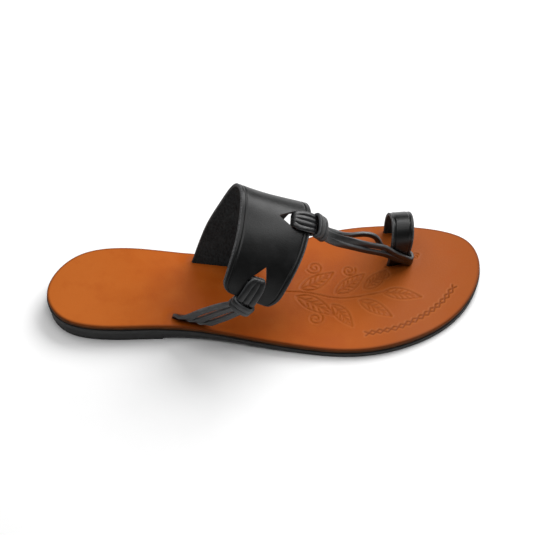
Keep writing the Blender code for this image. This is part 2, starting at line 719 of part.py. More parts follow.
def main():
    for old in list(bpy.data.objects):
        bpy.data.objects.remove(old)
    tan = material("tan_leather", (0.46, 0.16, 0.045), 0.45)
    black_rubber = material("black_rubber", (0.028, 0.030, 0.033), 0.75)
    black_leather = material("black_leather", (0.022, 0.023, 0.025), 0.5)
    pieces = list(make_sole(tan, black_rubber))
    pieces.append(make_band(black_leather))
    pieces.append(make_ring(black_leather))
    pieces.append(make_toe_lace(black_leather))
    pieces.append(make_side_lace(black_leather))

    corners = np.array([v.co for piece in pieces for v in piece.data.vertices])
    low, high = corners.min(axis=0), corners.max(axis=0)
    carrier = bpy.data.objects.new("sandal", None)
    bpy.context.collection.objects.link(carrier)
    carrier.location = (-(low[0] + high[0]) / 2, -(low[1] + high[1]) / 2, 0.0)
    for piece in pieces:
        piece.parent = carrier
        piece.data.shade_smooth()
        piece.data.set_sharp_from_angle(angle=math.radians(35))


main()
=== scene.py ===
"""A right-foot leather sandal, dressed over its CAD frame.

Metres.  Shapes are first placed from the heel's back and the sole's middle line, as on a
cobbler's last, and shifted to the frame's own origin when a piece is made.
"""
import math

import bpy
import numpy as np
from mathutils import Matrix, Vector


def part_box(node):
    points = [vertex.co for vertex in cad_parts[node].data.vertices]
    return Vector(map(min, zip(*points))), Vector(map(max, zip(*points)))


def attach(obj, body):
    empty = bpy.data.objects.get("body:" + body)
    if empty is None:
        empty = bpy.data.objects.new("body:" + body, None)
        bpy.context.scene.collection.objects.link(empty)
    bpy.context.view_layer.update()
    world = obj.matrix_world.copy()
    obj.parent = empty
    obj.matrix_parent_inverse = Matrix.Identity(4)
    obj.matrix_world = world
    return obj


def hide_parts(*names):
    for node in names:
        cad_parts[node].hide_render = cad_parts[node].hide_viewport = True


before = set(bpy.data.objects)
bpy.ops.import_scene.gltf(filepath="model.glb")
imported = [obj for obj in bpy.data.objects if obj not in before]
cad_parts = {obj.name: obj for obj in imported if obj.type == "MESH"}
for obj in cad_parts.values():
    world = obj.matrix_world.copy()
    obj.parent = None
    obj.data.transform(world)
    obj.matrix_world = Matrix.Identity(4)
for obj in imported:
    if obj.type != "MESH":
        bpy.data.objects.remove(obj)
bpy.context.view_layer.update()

# Sizes that the frame gives
INSOLE_LOW, INSOLE_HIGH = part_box("insole")
SOLE_LENGTH = INSOLE_HIGH.x - INSOLE_LOW.x

# Sizes of the leather and rubber
BALL_WIDTH = 0.095
SEAM = 0.0003
INSOLE_THICKNESS = 0.0030
OUTSOLE_THICKNESS = 0.0036
OUTSOLE_LIP = 0.0004
HEEL_RISE = 0.0072
HEEL_SLOPE_START = 0.18
HEEL_SLOPE_END = 0.66
TOE_SPRING = 0.0030
TOE_SPRING_START = 0.86
HEEL_BLOCK_LENGTH = 0.069
HEEL_BLOCK_INSET = 0.0003
HEEL_STEP = 0.0020
SHANK_WEDGE_LENGTH = 0.043
SHANK_LIP = 0.0006
BAND_THICKNESS = 0.0021
BAND_RISE = 0.0800
BAND_CORNER = 0.0080
TRIANGLE_HEIGHT = 0.0115
TRIANGLE_WIDTH = 0.0145
TRIANGLE_FILL = 0.0030
TOP_HOLE_PLACE = 0.63
SIDE_HOLE_PLACE = 0.52
RING_THICKNESS = 0.0021
RING_RISE = 0.0330
RING_STRAP_WIDTH = 0.0135
LACE_WIDTH = 0.0039
LACE_THICKNESS = 0.0022
HITCH_WIDTH = 0.0135
TOE_HITCH_DEPTH = 0.0110
TOE_HITCH_REACH = 0.0022
TOE_COLLAR_LEAD = 0.0052
SIDE_HITCH_DEPTH = 0.0140
SIDE_HITCH_REACH = 0.0026
SIDE_HITCH_SLANT = 0.14
SIDE_COLLAR_LEAD = 0.0048
COLLAR_THICKNESS = 0.0085
TOE_COLLAR_LENGTH = 0.0078
SIDE_COLLAR_LENGTH = 0.0062
COLLAR_HALF_BROAD = 0.0078
SIDE_STRAP_THICKNESS = 0.0024
SIDE_SLOT_PLACE = 0.316
SIDE_SLOT_MARGIN = 0.0045
SIDE_SLOT_TURN = -0.28

# Sole outline from the heel's back along the medial side: shares of length and ball width
SOLE_OUTLINE = (
    (0.000, -0.012), (0.030, 0.195), (0.075, 0.293), (0.145, 0.333), (0.250, 0.299),
    (0.360, 0.254), (0.455, 0.252), (0.540, 0.306), (0.625, 0.400), (0.740, 0.459),
    (0.850, 0.438), (0.935, 0.372), (0.982, 0.276), (1.000, 0.125), (0.975, -0.140),
    (0.910, -0.345), (0.820, -0.478), (0.700, -0.541), (0.580, -0.503), (0.450, -0.420),
    (0.320, -0.341), (0.200, -0.318), (0.100, -0.292), (0.035, -0.215),
)
MIDDLE_SIDE = (INSOLE_LOW.y + INSOLE_HIGH.y) / 2 - BALL_WIDTH * (0.459 - 0.541) / 2
SHIFT = np.array((INSOLE_LOW.x, MIDDLE_SIDE, 0.0))
FOREFOOT_TOP = OUTSOLE_THICKNESS + SEAM + INSOLE_THICKNESS

# Instep band from its slot to its free end: rear and front edge, shares of length, width, rise
BAND_RIBS = (
    (0.332, 0.200, 0.000, 0.483, 0.147, 0.000),
    (0.353, 0.229, 0.275, 0.507, 0.202, 0.188),
    (0.375, 0.241, 0.485, 0.532, 0.232, 0.375),
    (0.409, 0.238, 0.730, 0.564, 0.228, 0.570),
    (0.436, 0.200, 0.918, 0.592, 0.163, 0.712),
    (0.447, 0.062, 1.000, 0.600, 0.021, 0.780),
    (0.442, -0.086, 0.962, 0.593, -0.112, 0.765),
    (0.432, -0.217, 0.908, 0.577, -0.244, 0.720),
    (0.415, -0.330, 0.812, 0.550, -0.363, 0.635),
    (0.392, -0.432, 0.640, 0.505, -0.463, 0.420),
)

# Toe ring from its lateral leg over the toe: rear edge's length, side and rise, front's lead
RING_RIBS = (
    (0.784, 0.124, 0.000, 0.022),
    (0.784, 0.098, 0.330, 0.018),
    (0.785, 0.082, 0.660, 0.012),
    (0.787, 0.098, 0.900, 0.008),
    (0.789, 0.150, 1.000, 0.006),
    (0.790, 0.220, 0.970, 0.006),
    (0.790, 0.295, 0.800, 0.006),
    (0.790, 0.362, 0.530, 0.004),
    (0.790, 0.388, 0.260, 0.002),
    (0.790, 0.384, 0.000, 0.000),
)

# Lace routes: share of the way, then how far off the straight line in ball widths
NEAR_STRAND_BOW = ((0.10, 0.000, -0.028), (0.25, 0.000, -0.040), (0.50, 0.000, -0.032), (0.80, 0.000, -0.014))
FAR_STRAND_BOW = ((0.10, 0.000, -0.048), (0.28, 0.016, -0.050), (0.50, 0.034, -0.040), (0.70, 0.040, 0.012),
                  (0.86, 0.020, 0.052))
# The toe lace round the ring's leg: height and share across, side (-1 outside to 1 inside)
UPPER_TURN = ((0.0259, -0.30, -1.2), (0.0216, 0.05, -1.0), (0.0163, 0.45, -1.0), (0.0114, 0.80, -1.0),
              (0.0084, 1.07, -0.8), (0.0079, 1.12, 0.0), (0.0079, 1.07, 0.8), (0.0092, 0.75, 1.0),
              (0.0140, 0.25, 1.0), (0.0185, -0.25, 1.3))
LOWER_TURN = ((0.0210, -0.30, -1.2), (0.0167, 0.05, -1.0), (0.0114, 0.45, -1.0), (0.0067, 0.80, -1.0),
              (0.0043, 1.07, -0.8), (0.0039, 1.12, 0.0), (0.0038, 1.07, 0.8), (0.0036, 0.75, 1.0),
              (0.0035, 0.30, 1.0))
LACE_PITCH = 0.0040
SIDE_LACE_BOW = ((0.22, 0.002, 0.000), (0.45, 0.008, 0.004), (0.68, 0.016, 0.006), (0.88, 0.018, -0.006))
SIDE_STRIP_PITCH = 0.0042
SIDE_SLOT_PITCH = 0.0061
SIDE_STRIP_SPREAD = 0.0015

# Tooled leaves on the forefoot: base along and aside in metres, heading in degrees, length, width
LEAVES = (
    (0.150, -0.010, -28, 0.026, 0.0100), (0.153, -0.004, 22, 0.024, 0.0090),
    (0.171, -0.017, -52, 0.020, 0.0080), (0.174, -0.008, 28, 0.023, 0.0086),
    (0.188, -0.015, -30, 0.022, 0.0084), (0.192, -0.006, 34, 0.020, 0.0078),
    (0.203, -0.010, -6, 0.023, 0.0080),
)
# Tooled scrolls: centre along and aside, outer radius, turns, starting degrees
SCROLLS = (
    (0.163, 0.0120, 0.0050, 1.6, 200), (0.184, 0.0085, 0.0044, -1.6, 20),
    (0.160, -0.0270, 0.0048, -1.5, 60), (0.206, 0.0040, 0.0038, 1.5, 150),
    (0.2265, 0.0165, 0.0026, 1.3, 30),
)
STEM = ((0.143, -0.006), (0.158, -0.0075), (0.174, -0.012), (0.190, -0.0115), (0.206, -0.009))
ZIGZAG_PATH = ((0.1885, -0.0400), (0.1970, -0.0389), (0.2071, -0.0372), (0.2154, -0.0340), (0.2250, -0.0290),
               (0.2324, -0.0240), (0.2400, -0.0172), (0.2469, -0.0086))
ZIGZAG_PITCH = 0.0045
ZIGZAG_REACH = 0.0015

# Widths of the pressed lines, the swell beside a leaf's line and the insole's rounded rim
LEAF_LINE = 0.0011
LEAF_LIP = 0.0024
ZIGZAG_LINE = 0.0009
INSOLE_RIM_ROUND = 0.0011


# Curves and surfaces

def spline_through(rows, samples, closed=False):
    """Cubic curve through the rows, evenly spaced by its own length."""
    rows = np.array(rows, dtype=float)
    if closed:
        rows = np.vstack([rows, rows[:1]])
    knots = np.concatenate([[0.0], np.cumsum(np.linalg.norm(np.diff(rows, axis=0), axis=1))])
    steps = np.diff(knots)
    count = len(rows)
    system = np.zeros((count, count))
    right = np.zeros((count, rows.shape[1]))
    for i in range(1, count - 1):
        system[i, i - 1] = steps[i - 1]
        system[i, i] = 2 * (steps[i - 1] + steps[i])
        system[i, i + 1] = steps[i]
        right[i] = 6 * ((rows[i + 1] - rows[i]) / steps[i] - (rows[i] - rows[i - 1]) / steps[i - 1])
    if closed:
        system[0, 0], system[0, -1] = 1, -1
        system[-1, 0], system[-1, 1] = 2 * steps[0], steps[0]
        system[-1, -2], system[-1, -1] = steps[-1], 2 * steps[-1]
        right[-1] = 6 * ((rows[1] - rows[0]) / steps[0] - (rows[-1] - rows[-2]) / steps[-1])
    else:
        system[0, 0] = system[-1, -1] = 1
    bend = np.linalg.solve(system, right)
    places = np.linspace(0, knots[-1], 20 * samples)
    spans = np.clip(np.searchsorted(knots, places) - 1, 0, count - 2)
    a = (knots[spans + 1] - places)[:, None]
    b = (places - knots[spans])[:, None]
    h = steps[spans][:, None]
    fine = ((bend[spans] * a ** 3 + bend[spans + 1] * b ** 3) / (6 * h)
            + (rows[spans] / h - bend[spans] * h / 6) * a
            + (rows[spans + 1] / h - bend[spans + 1] * h / 6) * b)
    lengths = np.concatenate([[0.0], np.cumsum(np.linalg.norm(np.diff(fine, axis=0), axis=1))])
    wanted = np.linspace(0, lengths[-1], samples + 1 if closed else samples)
    if closed:
        wanted = wanted[:-1]
    return np.column_stack([np.interp(wanted, lengths, fine[:, k]) for k in range(rows.shape[1])])


def smooth_step(share):
    share = np.clip(share, 0.0, 1.0)
    return share * share * (3 - 2 * share)


def bump_at(distance, width):
    """One at the middle, falling smoothly to nothing at the width."""
    return 1 - smooth_step(np.abs(distance) / width)


def unit(vectors):
    return vectors / np.linalg.norm(vectors, axis=-1, keepdims=True)


def insole_top(x):
    along = x / SOLE_LENGTH
    heel_share = 1 - smooth_step((along - HEEL_SLOPE_START) / (HEEL_SLOPE_END - HEEL_SLOPE_START))
    toe_share = np.maximum(along - TOE_SPRING_START, 0.0) / (1 - TOE_SPRING_START)
    return FOREFOOT_TOP + HEEL_RISE * heel_share + TOE_SPRING * toe_share ** 2


def insole_bottom(x):
    return insole_top(x) - INSOLE_THICKNESS


def outsole_top(x):
    return insole_bottom(x) - SEAM


def outsole_bottom(x):
    return outsole_top(x) - OUTSOLE_THICKNESS


def heel_top(x):
    return outsole_bottom(x) - SEAM


def heel_bottom(x):
    share = (x - HEEL_BLOCK_LENGTH) / SHANK_WEDGE_LENGTH
    wedge_end = heel_top(HEEL_BLOCK_LENGTH + SHANK_WEDGE_LENGTH) - SHANK_LIP
    return np.where(x <= HEEL_BLOCK_LENGTH, 0.0, HEEL_STEP + (wedge_end - HEEL_STEP) * share)


OUTLINE = spline_through([(x * SOLE_LENGTH, y * BALL_WIDTH) for x, y in SOLE_OUTLINE], 900, closed=True)


def outline_with_margin(margin):
    ahead = np.roll(OUTLINE, -1, axis=0) - np.roll(OUTLINE, 1, axis=0)
    outward = unit(np.column_stack([ahead[:, 1], -ahead[:, 0]]))
    if np.sum(outward * (OUTLINE - OUTLINE.mean(axis=0))) < 0:
        outward = -outward
    return OUTLINE + outward * margin


def edge_sides(outline):
    """Tables of the lateral and the medial edge: x and side, both rising in x."""
    back, front = int(np.argmin(outline[:, 0])), int(np.argmax(outline[:, 0]))
    loop = np.roll(outline, -back, axis=0)
    turn = (front - back) % len(outline)
    one, other = loop[:turn + 1], np.vstack([loop[turn:], loop[:1]])[::-1]
    lateral, medial = (one, other) if one[:, 1].mean() < other[:, 1].mean() else (other, one)
    return lateral, medial


def distance_to(points, line, closed=False):
    """Least distance in plan from each point to a line of points."""
    starts = line if closed else line[:-1]
    ends = np.roll(line, -1, axis=0) if closed else line[1:]
    least = np.full(len(points), 1.0)
    runs = ends - starts
    squares = np.maximum((runs ** 2).sum(axis=1), 1e-16)
    for first in range(0, len(points), 4000):
        part = points[first:first + 4000, None, :] - starts[None]
        along = np.clip((part * runs[None]).sum(axis=2) / squares[None], 0, 1)
        gap = part - along[..., None] * runs[None]
        least[first:first + 4000] = np.sqrt((gap ** 2).sum(axis=2)).min(axis=1)
    return least


class StrapSurface:
    """Places points by length along the strap, share across it and height off its face."""

    def __init__(self, rear_rows, front_rows, far_end_drops=False):
        self.far_end_drops = far_end_drops
        line = spline_through(np.hstack([rear_rows, front_rows]), 400)
        self.rear, self.front = line[:, :3], line[:, 3:]
        middle = (self.rear + self.front) / 2
        self.places = np.concatenate([[0.0], np.cumsum(np.linalg.norm(np.diff(middle, axis=0), axis=1))])
        self.length = self.places[-1]
        self.width = float(np.mean(np.linalg.norm(self.front - self.rear, axis=1)))

    def edge(self, line, along):
        inside = np.clip(along, 0.0, self.length)
        point = np.stack([np.interp(inside, self.places, line[:, k]) for k in range(3)], axis=-1)
        point[..., 2] += np.minimum(along, 0.0)
        beyond = np.maximum(along - self.length, 0.0)
        if self.far_end_drops:
            point[..., 2] -= beyond
        else:
            slope = (line[-1] - line[-2]) / (self.places[-1] - self.places[-2])
            point += beyond[..., None] * slope
        return point

    def flat(self, along, across):
        across = np.asarray(across)[..., None]
        return self.edge(self.rear, along) * (1 - across) + self.edge(self.front, along) * across

    def point(self, along, across, lift):
        along, across, lift = np.broadcast_arrays(np.asarray(along, float), across, lift)
        step = 0.001
        ahead = self.flat(along + step, across) - self.flat(along - step, across)
        aside = self.flat(along, across + 0.02) - self.flat(along, across - 0.02)
        return self.flat(along, across) + unit(np.cross(ahead, aside)) * lift[..., None]


def band_surface():
    rear, front = [], []
    for i, (rx, ry, rz, fx, fy, fz) in enumerate(BAND_RIBS):
        base_rear = insole_top(rx * SOLE_LENGTH) if i == 0 else FOREFOOT_TOP
        base_front = insole_top(fx * SOLE_LENGTH) if i == 0 else FOREFOOT_TOP
        rear.append((rx * SOLE_LENGTH, ry * BALL_WIDTH, base_rear + rz * BAND_RISE))
        front.append((fx * SOLE_LENGTH, fy * BALL_WIDTH, base_front + fz * BAND_RISE))
    return StrapSurface(np.array(rear), np.array(front))


def ring_surface():
    rear, front = [], []
    for i, (x, side, rise, lead) in enumerate(RING_RIBS):
        for rows, at_x, at_side in ((rear, x * SOLE_LENGTH, side),
                                    (front, x * SOLE_LENGTH + RING_STRAP_WIDTH, side + lead)):
            base = insole_top(at_x) if i in (0, len(RING_RIBS) - 1) else FOREFOOT_TOP
            rows.append((at_x, at_side * BALL_WIDTH, base + rise * RING_RISE))
    return StrapSurface(np.array(rear), np.array(front), far_end_drops=True)


BAND = band_surface()
RING = ring_surface()


def over_front_rim(side, depth, lift):
    return BAND.point(TOP_HOLE_PLACE * BAND.length + side, 1 - depth / BAND.width, lift)


def over_free_end(side, depth, lift):
    across = SIDE_HOLE_PLACE + (side - SIDE_HITCH_SLANT * (SIDE_HITCH_DEPTH - depth)) / BAND.width
    return BAND.point(BAND.length - depth, across, lift)


# Mesh tools

def pick(piece):
    bpy.ops.object.select_all(action='DESELECT')
    piece.select_set(True)
    bpy.context.view_layer.objects.active = piece


def corners_of(piece):
    flat = np.empty(3 * len(piece.data.vertices))
    piece.data.vertices.foreach_get("co", flat)
    return flat.reshape(-1, 3)


def move_corners(piece, points):
    piece.data.vertices.foreach_set("co", np.asarray(points, dtype=float).ravel())
    piece.data.update()


def mark(piece, name, values):
    """Keeps a number for each corner that a material can read."""
    layer = piece.data.attributes.new(name, 'FLOAT', 'POINT')
    layer.data.foreach_set("value", np.asarray(values, dtype=np.float32))


def sheet_of(name, columns, rows, place, marks=None, finish_of=None):
    """A primitive grid whose corners go where place(u, v) says, u and v from 0 to 1.

    marks(u, v) gives named numbers for the corners; finish_of(u, v) a material slot for each face.
    """
    bpy.ops.object.select_all(action='DESELECT')
    bpy.ops.mesh.primitive_grid_add(x_subdivisions=columns, y_subdivisions=rows, size=1)
    piece = bpy.context.object
    piece.name = piece.data.name = name
    flat = corners_of(piece)
    u, v = np.clip(flat[:, 0] + 0.5, 0, 1), np.clip(flat[:, 1] + 0.5, 0, 1)
    if finish_of:
        centres = np.empty(3 * len(piece.data.polygons))
        piece.data.polygons.foreach_get("center", centres)
        centres = centres.reshape(-1, 3) + 0.5
        slots = np.asarray(finish_of(centres[:, 0], centres[:, 1]), dtype=np.int32)
        piece.data.polygons.foreach_set("material_index", slots)
    for key, values in (marks(u, v) if marks else {}).items():
        mark(piece, key, values)
    move_corners(piece, place(u, v) + SHIFT)
    return piece


def close_up(piece, distance=0.000002, cap=True, wall_cuts=0):
    """Merges the seam, closes what is open by a cap or a wall, and turns the faces outwards."""
    pick(piece)
    bpy.ops.object.mode_set(mode='EDIT')
    bpy.ops.mesh.select_mode(type='VERT')
    bpy.ops.mesh.select_all(action='SELECT')
    bpy.ops.mesh.remove_doubles(threshold=distance)
    if cap:
        if wall_cuts:
            bpy.ops.mesh.select_mode(type='EDGE')
        bpy.ops.mesh.select_all(action='DESELECT')
        bpy.ops.mesh.select_non_manifold(extend=False, use_wire=False, use_boundary=True,
                                         use_multi_face=False, use_non_contiguous=False,
                                         use_verts=False)
        if wall_cuts:
            bpy.ops.mesh.bridge_edge_loops(number_cuts=wall_cuts, interpolation='LINEAR')
        else:
            bpy.ops.mesh.fill_holes(sides=0)
    bpy.ops.mesh.select_all(action='SELECT')
    bpy.ops.mesh.normals_make_consistent(inside=False)
    bpy.ops.object.mode_set(mode='OBJECT')


def join(pieces, name):
    bpy.ops.object.select_all(action='DESELECT')
    for piece in pieces:
        piece.select_set(True)
    bpy.context.view_layer.objects.active = pieces[0]
    bpy.ops.object.join()
    made = bpy.context.object
    made.name = made.data.name = name
    return made


def cut_out(piece, cutters):
    for cutter in cutters:
        pick(piece)
        cut = piece.modifiers.new(cutter.name, 'BOOLEAN')
        cut.operation = 'DIFFERENCE'
        cut.solver = 'EXACT'
        cut.object = cutter
        bpy.ops.object.modifier_apply(modifier=cut.name)
        bpy.data.objects.remove(cutter)


def dress(piece, finishes, node=None):
    """Gives a piece its materials and its ride, and hides the solid that it stands for."""
    slots = np.empty(len(piece.data.polygons), dtype=np.int32)
    piece.data.polygons.foreach_get("material_index", slots)
    piece.data.materials.clear()
    for finish in finishes:
        piece.data.materials.append(finish)
    piece.data.polygons.foreach_set("material_index", slots)
    pick(piece)
    bpy.ops.object.shade_smooth_by_angle(angle=math.radians(40))
    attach(piece, "root")
    if node:
        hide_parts(node)
    return piece


def strip(name, route, sides, width, thickness, closed=False, around=28, softness=0.42, swell=None):
    """A leather strip along the route: a rounded flat section, its cut edges marked."""
    count = len(route)
    if closed:
        ahead = np.roll(route, -1, axis=0) - np.roll(route, 1, axis=0)
    else:
        ahead = np.gradient(route, axis=0)
    ahead = unit(ahead)
    across = unit(sides - ahead * (sides * ahead).sum(axis=1, keepdims=True))
    rise = np.cross(ahead, across)
    section = strip_section(width, thickness, around, softness)
    swell = np.ones(count) if swell is None else swell
    columns = count if closed else count - 1

    def place(u, v):
        i = np.rint(u * columns).astype(int) % count
        j = np.rint(v * around).astype(int) % around
        return route[i] + across[i] * section[j, :1] * swell[i][:, None] + rise[i] * section[j, 1:2]

    def marks(u, v):
        j = np.rint(v * around).astype(int) % around
        return {"worn": np.abs(section[j, 0]) / (width / 2)}

    piece = sheet_of(name, columns, around, place, marks)
    close_up(piece, cap=not closed)
    return piece


def strip_section(width, thickness, around, softness):
    """Closed outline of a strip as side and rise; the softness rounds its cut edges."""
    turn = 2 * math.pi * np.arange(around) / around
    side = np.sign(np.cos(turn)) * np.abs(np.cos(turn)) ** softness * width / 2
    rise = np.sign(np.sin(turn)) * np.abs(np.sin(turn)) ** (softness + 0.2) * thickness / 2
    return np.column_stack([side, rise])


# Finishes

class Nodes:
    """Short ways to add and join the nodes of one tree."""

    def __init__(self, tree):
        self.tree = tree

    def add(self, kind, values=None, **settings):
        node = self.tree.nodes.new(kind)
        for key, value in settings.items():
            setattr(node, key, value)
        for key, value in (values or {}).items():
            if isinstance(value, bpy.types.NodeSocket):
                self.tree.links.new(value, node.inputs[key])
            else:
                node.inputs[key].default_value = value
        return node

    def math(self, operation, first, second=0.0, clamp=False):
        node = self.add('ShaderNodeMath', {0: first, 1: second}, operation=operation)
        node.use_clamp = clamp
        return node.outputs[0]

    def blend(self, share, first, second):
        colours = [colour if isinstance(colour, bpy.types.NodeSocket) else (*colour, 1)
                   for colour in (first, second)]
        values = {0: share, 6: colours[0], 7: colours[1]}
        return self.add('ShaderNodeMix', values, data_type='RGBA').outputs[2]

    def spread(self, value, low, high, to_low=0.0, to_high=1.0):
        node = self.add('ShaderNodeMapRange', {0: value, 1: low, 2: high, 3: to_low, 4: to_high})
        return node.outputs[0]

    def noise(self, place, scale, detail=4.0, roughness=0.55):
        node = self.add('ShaderNodeTexNoise', {'Vector': place, 'Scale': scale, 'Detail': detail,
                                              'Roughness': roughness})
        return node.outputs[0]

    def streaks(self, place, stretch, detail=4.0, roughness=0.6):
        """Noise with its own scale along each axis."""
        stretched = self.add('ShaderNodeMapping', {'Vector': place, 'Scale': stretch}).outputs[0]
        return self.noise(stretched, 1.0, detail, roughness)

    def attribute(self, name):
        return self.add('ShaderNodeAttribute', attribute_name=name).outputs['Fac']


def grain_group():
    """Leather grain: fine pebbles broken by creases, and a slow mottle."""
    group = bpy.data.node_groups.new("leather grain", 'ShaderNodeTree')
    group.interface.new_socket("Place", in_out='INPUT', socket_type='NodeSocketVector')
    group.interface.new_socket("Scale", in_out='INPUT', socket_type='NodeSocketFloat')
    group.interface.new_socket("Height", in_out='OUTPUT', socket_type='NodeSocketFloat')
    group.interface.new_socket("Mottle", in_out='OUTPUT', socket_type='NodeSocketFloat')
    made = Nodes(group)
    source = made.add('NodeGroupInput')
    place, scale = source.outputs['Place'], source.outputs['Scale']
    pebbles = made.add('ShaderNodeTexVoronoi', {'Vector': place, 'Scale': scale}, feature='F1')
    fine = made.noise(place, made.math('MULTIPLY', scale, 1.7), 3.0, 0.6)
    broad = made.noise(place, made.math('MULTIPLY', scale, 0.11), 3.0, 0.5)
    raised = made.math('MULTIPLY', made.math('SUBTRACT', 1.0, pebbles.outputs['Distance']), 0.45)
    height = made.math('ADD', raised, made.math('MULTIPLY', fine, 0.75))
    target = made.add('NodeGroupOutput')
    group.links.new(height, target.inputs['Height'])
    group.links.new(broad, target.inputs['Mottle'])
    return group


GRAIN = grain_group()


def new_material(name, roughness, coat=0.0, coat_roughness=0.3, sheen=0.0, specular=0.5):
    made = bpy.data.materials.new(name)
    made.use_nodes = True
    nodes = Nodes(made.node_tree)
    shader = made.node_tree.nodes["Principled BSDF"]
    shader.inputs["Roughness"].default_value = roughness
    shader.inputs["Coat Weight"].default_value = coat
    shader.inputs["Coat Roughness"].default_value = coat_roughness
    shader.inputs["Sheen Weight"].default_value = sheen
    shader.inputs["Specular IOR Level"].default_value = specular
    place = nodes.add('ShaderNodeTexCoord').outputs['Object']
    return made, nodes, shader, place


def grain_at(nodes, place, scale):
    group = nodes.add('ShaderNodeGroup', node_tree=GRAIN)
    nodes.tree.links.new(place, group.inputs['Place'])
    group.inputs['Scale'].default_value = scale
    return group.outputs['Height'], group.outputs['Mottle']


def set_bump(nodes, shader, height, strength, distance):
    bump = nodes.add('ShaderNodeBump', {'Strength': strength, 'Distance': distance, 'Height': height})
    nodes.tree.links.new(bump.outputs[0], shader.inputs['Normal'])


def set_colour(nodes, shader, colour):
    nodes.tree.links.new(colour, shader.inputs['Base Color'])


def set_roughness(nodes, shader, roughness):
    nodes.tree.links.new(roughness, shader.inputs['Roughness'])


TAN = (0.400, 0.082, 0.0045)
TAN_DEEP = (0.310, 0.053, 0.0020)
TAN_PALE = (0.420, 0.108, 0.014)
TAN_ROSE = (0.285, 0.066, 0.0080)
# Dark brown of the burnished rim, also used as painted shade round the strap slots
BURNISH_AND_SHADE = (0.075, 0.016, 0.002)
TOOLED = (0.110, 0.022, 0.003)


def insole_leather():
    made, nodes, shader, place = new_material("insole_leather", 0.46, specular=0.09)
    height, mottle = grain_at(nodes, place, 900.0)
    cloud = nodes.noise(place, 24.0, 3.0, 0.6)
    streaks = nodes.streaks(place, (18.0, 140.0, 60.0), roughness=0.65)
    colour = nodes.blend(nodes.spread(cloud, 0.36, 0.66, 0.45, 1.0), TAN_DEEP, TAN)
    colour = nodes.blend(nodes.attribute("shaded"), colour, TAN_DEEP)
    colour = nodes.blend(nodes.spread(mottle, 0.45, 0.75, 0.0, 0.35), colour, TAN_PALE)
    colour = nodes.blend(nodes.spread(streaks, 0.5, 0.8, 0.0, 0.16), colour, TAN_PALE)
    # Painted highlight that makes the heel paler
    colour = nodes.blend(nodes.attribute("pale"), colour, TAN_PALE)
    colour = nodes.blend(nodes.attribute("rose"), colour, TAN_ROSE)
    blotch = nodes.noise(place, 75.0, 5.0, 0.62)
    colour = nodes.blend(nodes.spread(blotch, 0.52, 0.74, 0.0, 0.30), colour, TAN_DEEP)
    # Painted highlight on the raised lips beside the tooled lines and the zigzag
    colour = nodes.blend(nodes.attribute("lips"), colour, (0.440, 0.150, 0.045))
    colour = nodes.blend(nodes.math('MULTIPLY', nodes.attribute("tooled"), 0.16, clamp=True), colour, TOOLED)
    colour = nodes.blend(nodes.attribute("stitched"), colour, TOOLED)
    # Darkens the burnished rim, and paints shade round the slots where the straps stand up
    colour = nodes.blend(nodes.attribute("burnished_and_shaded"), colour, BURNISH_AND_SHADE)
    set_colour(nodes, shader, colour)
    set_roughness(nodes, shader, nodes.spread(cloud, 0.3, 0.7, 0.40, 0.56))
    set_bump(nodes, shader, height, 0.16, 0.0004)
    return made


def insole_side():
    made, nodes, shader, place = new_material("insole_cut_edge", 0.62, specular=0.10)
    fibres = nodes.streaks(place, (120.0, 120.0, 1500.0))
    colour = nodes.blend(nodes.spread(fibres, 0.35, 0.7), (0.040, 0.012, 0.002), (0.120, 0.038, 0.006))
    set_colour(nodes, shader, colour)
    set_bump(nodes, shader, fibres, 0.35, 0.0003)
    return made


def sole_rubber(name, tone):
    made, nodes, shader, place = new_material(name, 0.72, specular=0.35)
    fine = nodes.noise(place, 1600.0, 3.0, 0.7)
    layers = nodes.streaks(place, (40.0, 40.0, 900.0))
    scuff = nodes.noise(place, 130.0, 5.0, 0.7)
    colour = nodes.blend(nodes.spread(layers, 0.35, 0.7), tuple(0.55 * c for c in tone), tone)
    colour = nodes.blend(nodes.spread(scuff, 0.6, 0.85, 0.0, 0.4), colour, tuple(2.6 * c for c in tone))
    set_colour(nodes, shader, colour)
    set_roughness(nodes, shader, nodes.spread(scuff, 0.3, 0.8, 0.62, 0.86))
    height = nodes.math('ADD', nodes.math('MULTIPLY', layers, 0.6), nodes.math('MULTIPLY', fine, 0.4))
    set_bump(nodes, shader, height, 0.4, 0.0003)
    return made


def strap_face():
    made, nodes, shader, place = new_material("strap_black_leather", 0.36, specular=0.27)
    height, mottle = grain_at(nodes, place, 1300.0)
    cloud = nodes.noise(place, 60.0, 4.0, 0.6)
    colour = nodes.blend(nodes.spread(cloud, 0.35, 0.7), (0.0026, 0.0028, 0.0028), (0.0062, 0.0064, 0.0065))
    colour = nodes.blend(nodes.spread(mottle, 0.5, 0.8, 0.0, 0.3), colour, (0.018, 0.018, 0.019))
    colour = nodes.blend(nodes.attribute("worn"), colour, (0.050, 0.051, 0.052))
    set_colour(nodes, shader, colour)
    set_roughness(nodes, shader, nodes.spread(cloud, 0.3, 0.75, 0.32, 0.46))
    set_bump(nodes, shader, height, 0.22, 0.0003)
    return made


def strap_flesh():
    made, nodes, shader, place = new_material("strap_flesh_side", 0.9, specular=0.25)
    nap = nodes.streaks(place, (900.0, 500.0, 500.0), 5.0, 0.7)
    cloud = nodes.noise(place, 45.0, 4.0, 0.6)
    colour = nodes.blend(nodes.spread(nap, 0.35, 0.7), (0.009, 0.012, 0.013), (0.038, 0.046, 0.049))
    colour = nodes.blend(nodes.spread(cloud, 0.5, 0.8, 0.0, 0.6), colour, (0.062, 0.074, 0.077))
    set_colour(nodes, shader, colour)
    set_bump(nodes, shader, nap, 0.5, 0.0004)
    return made


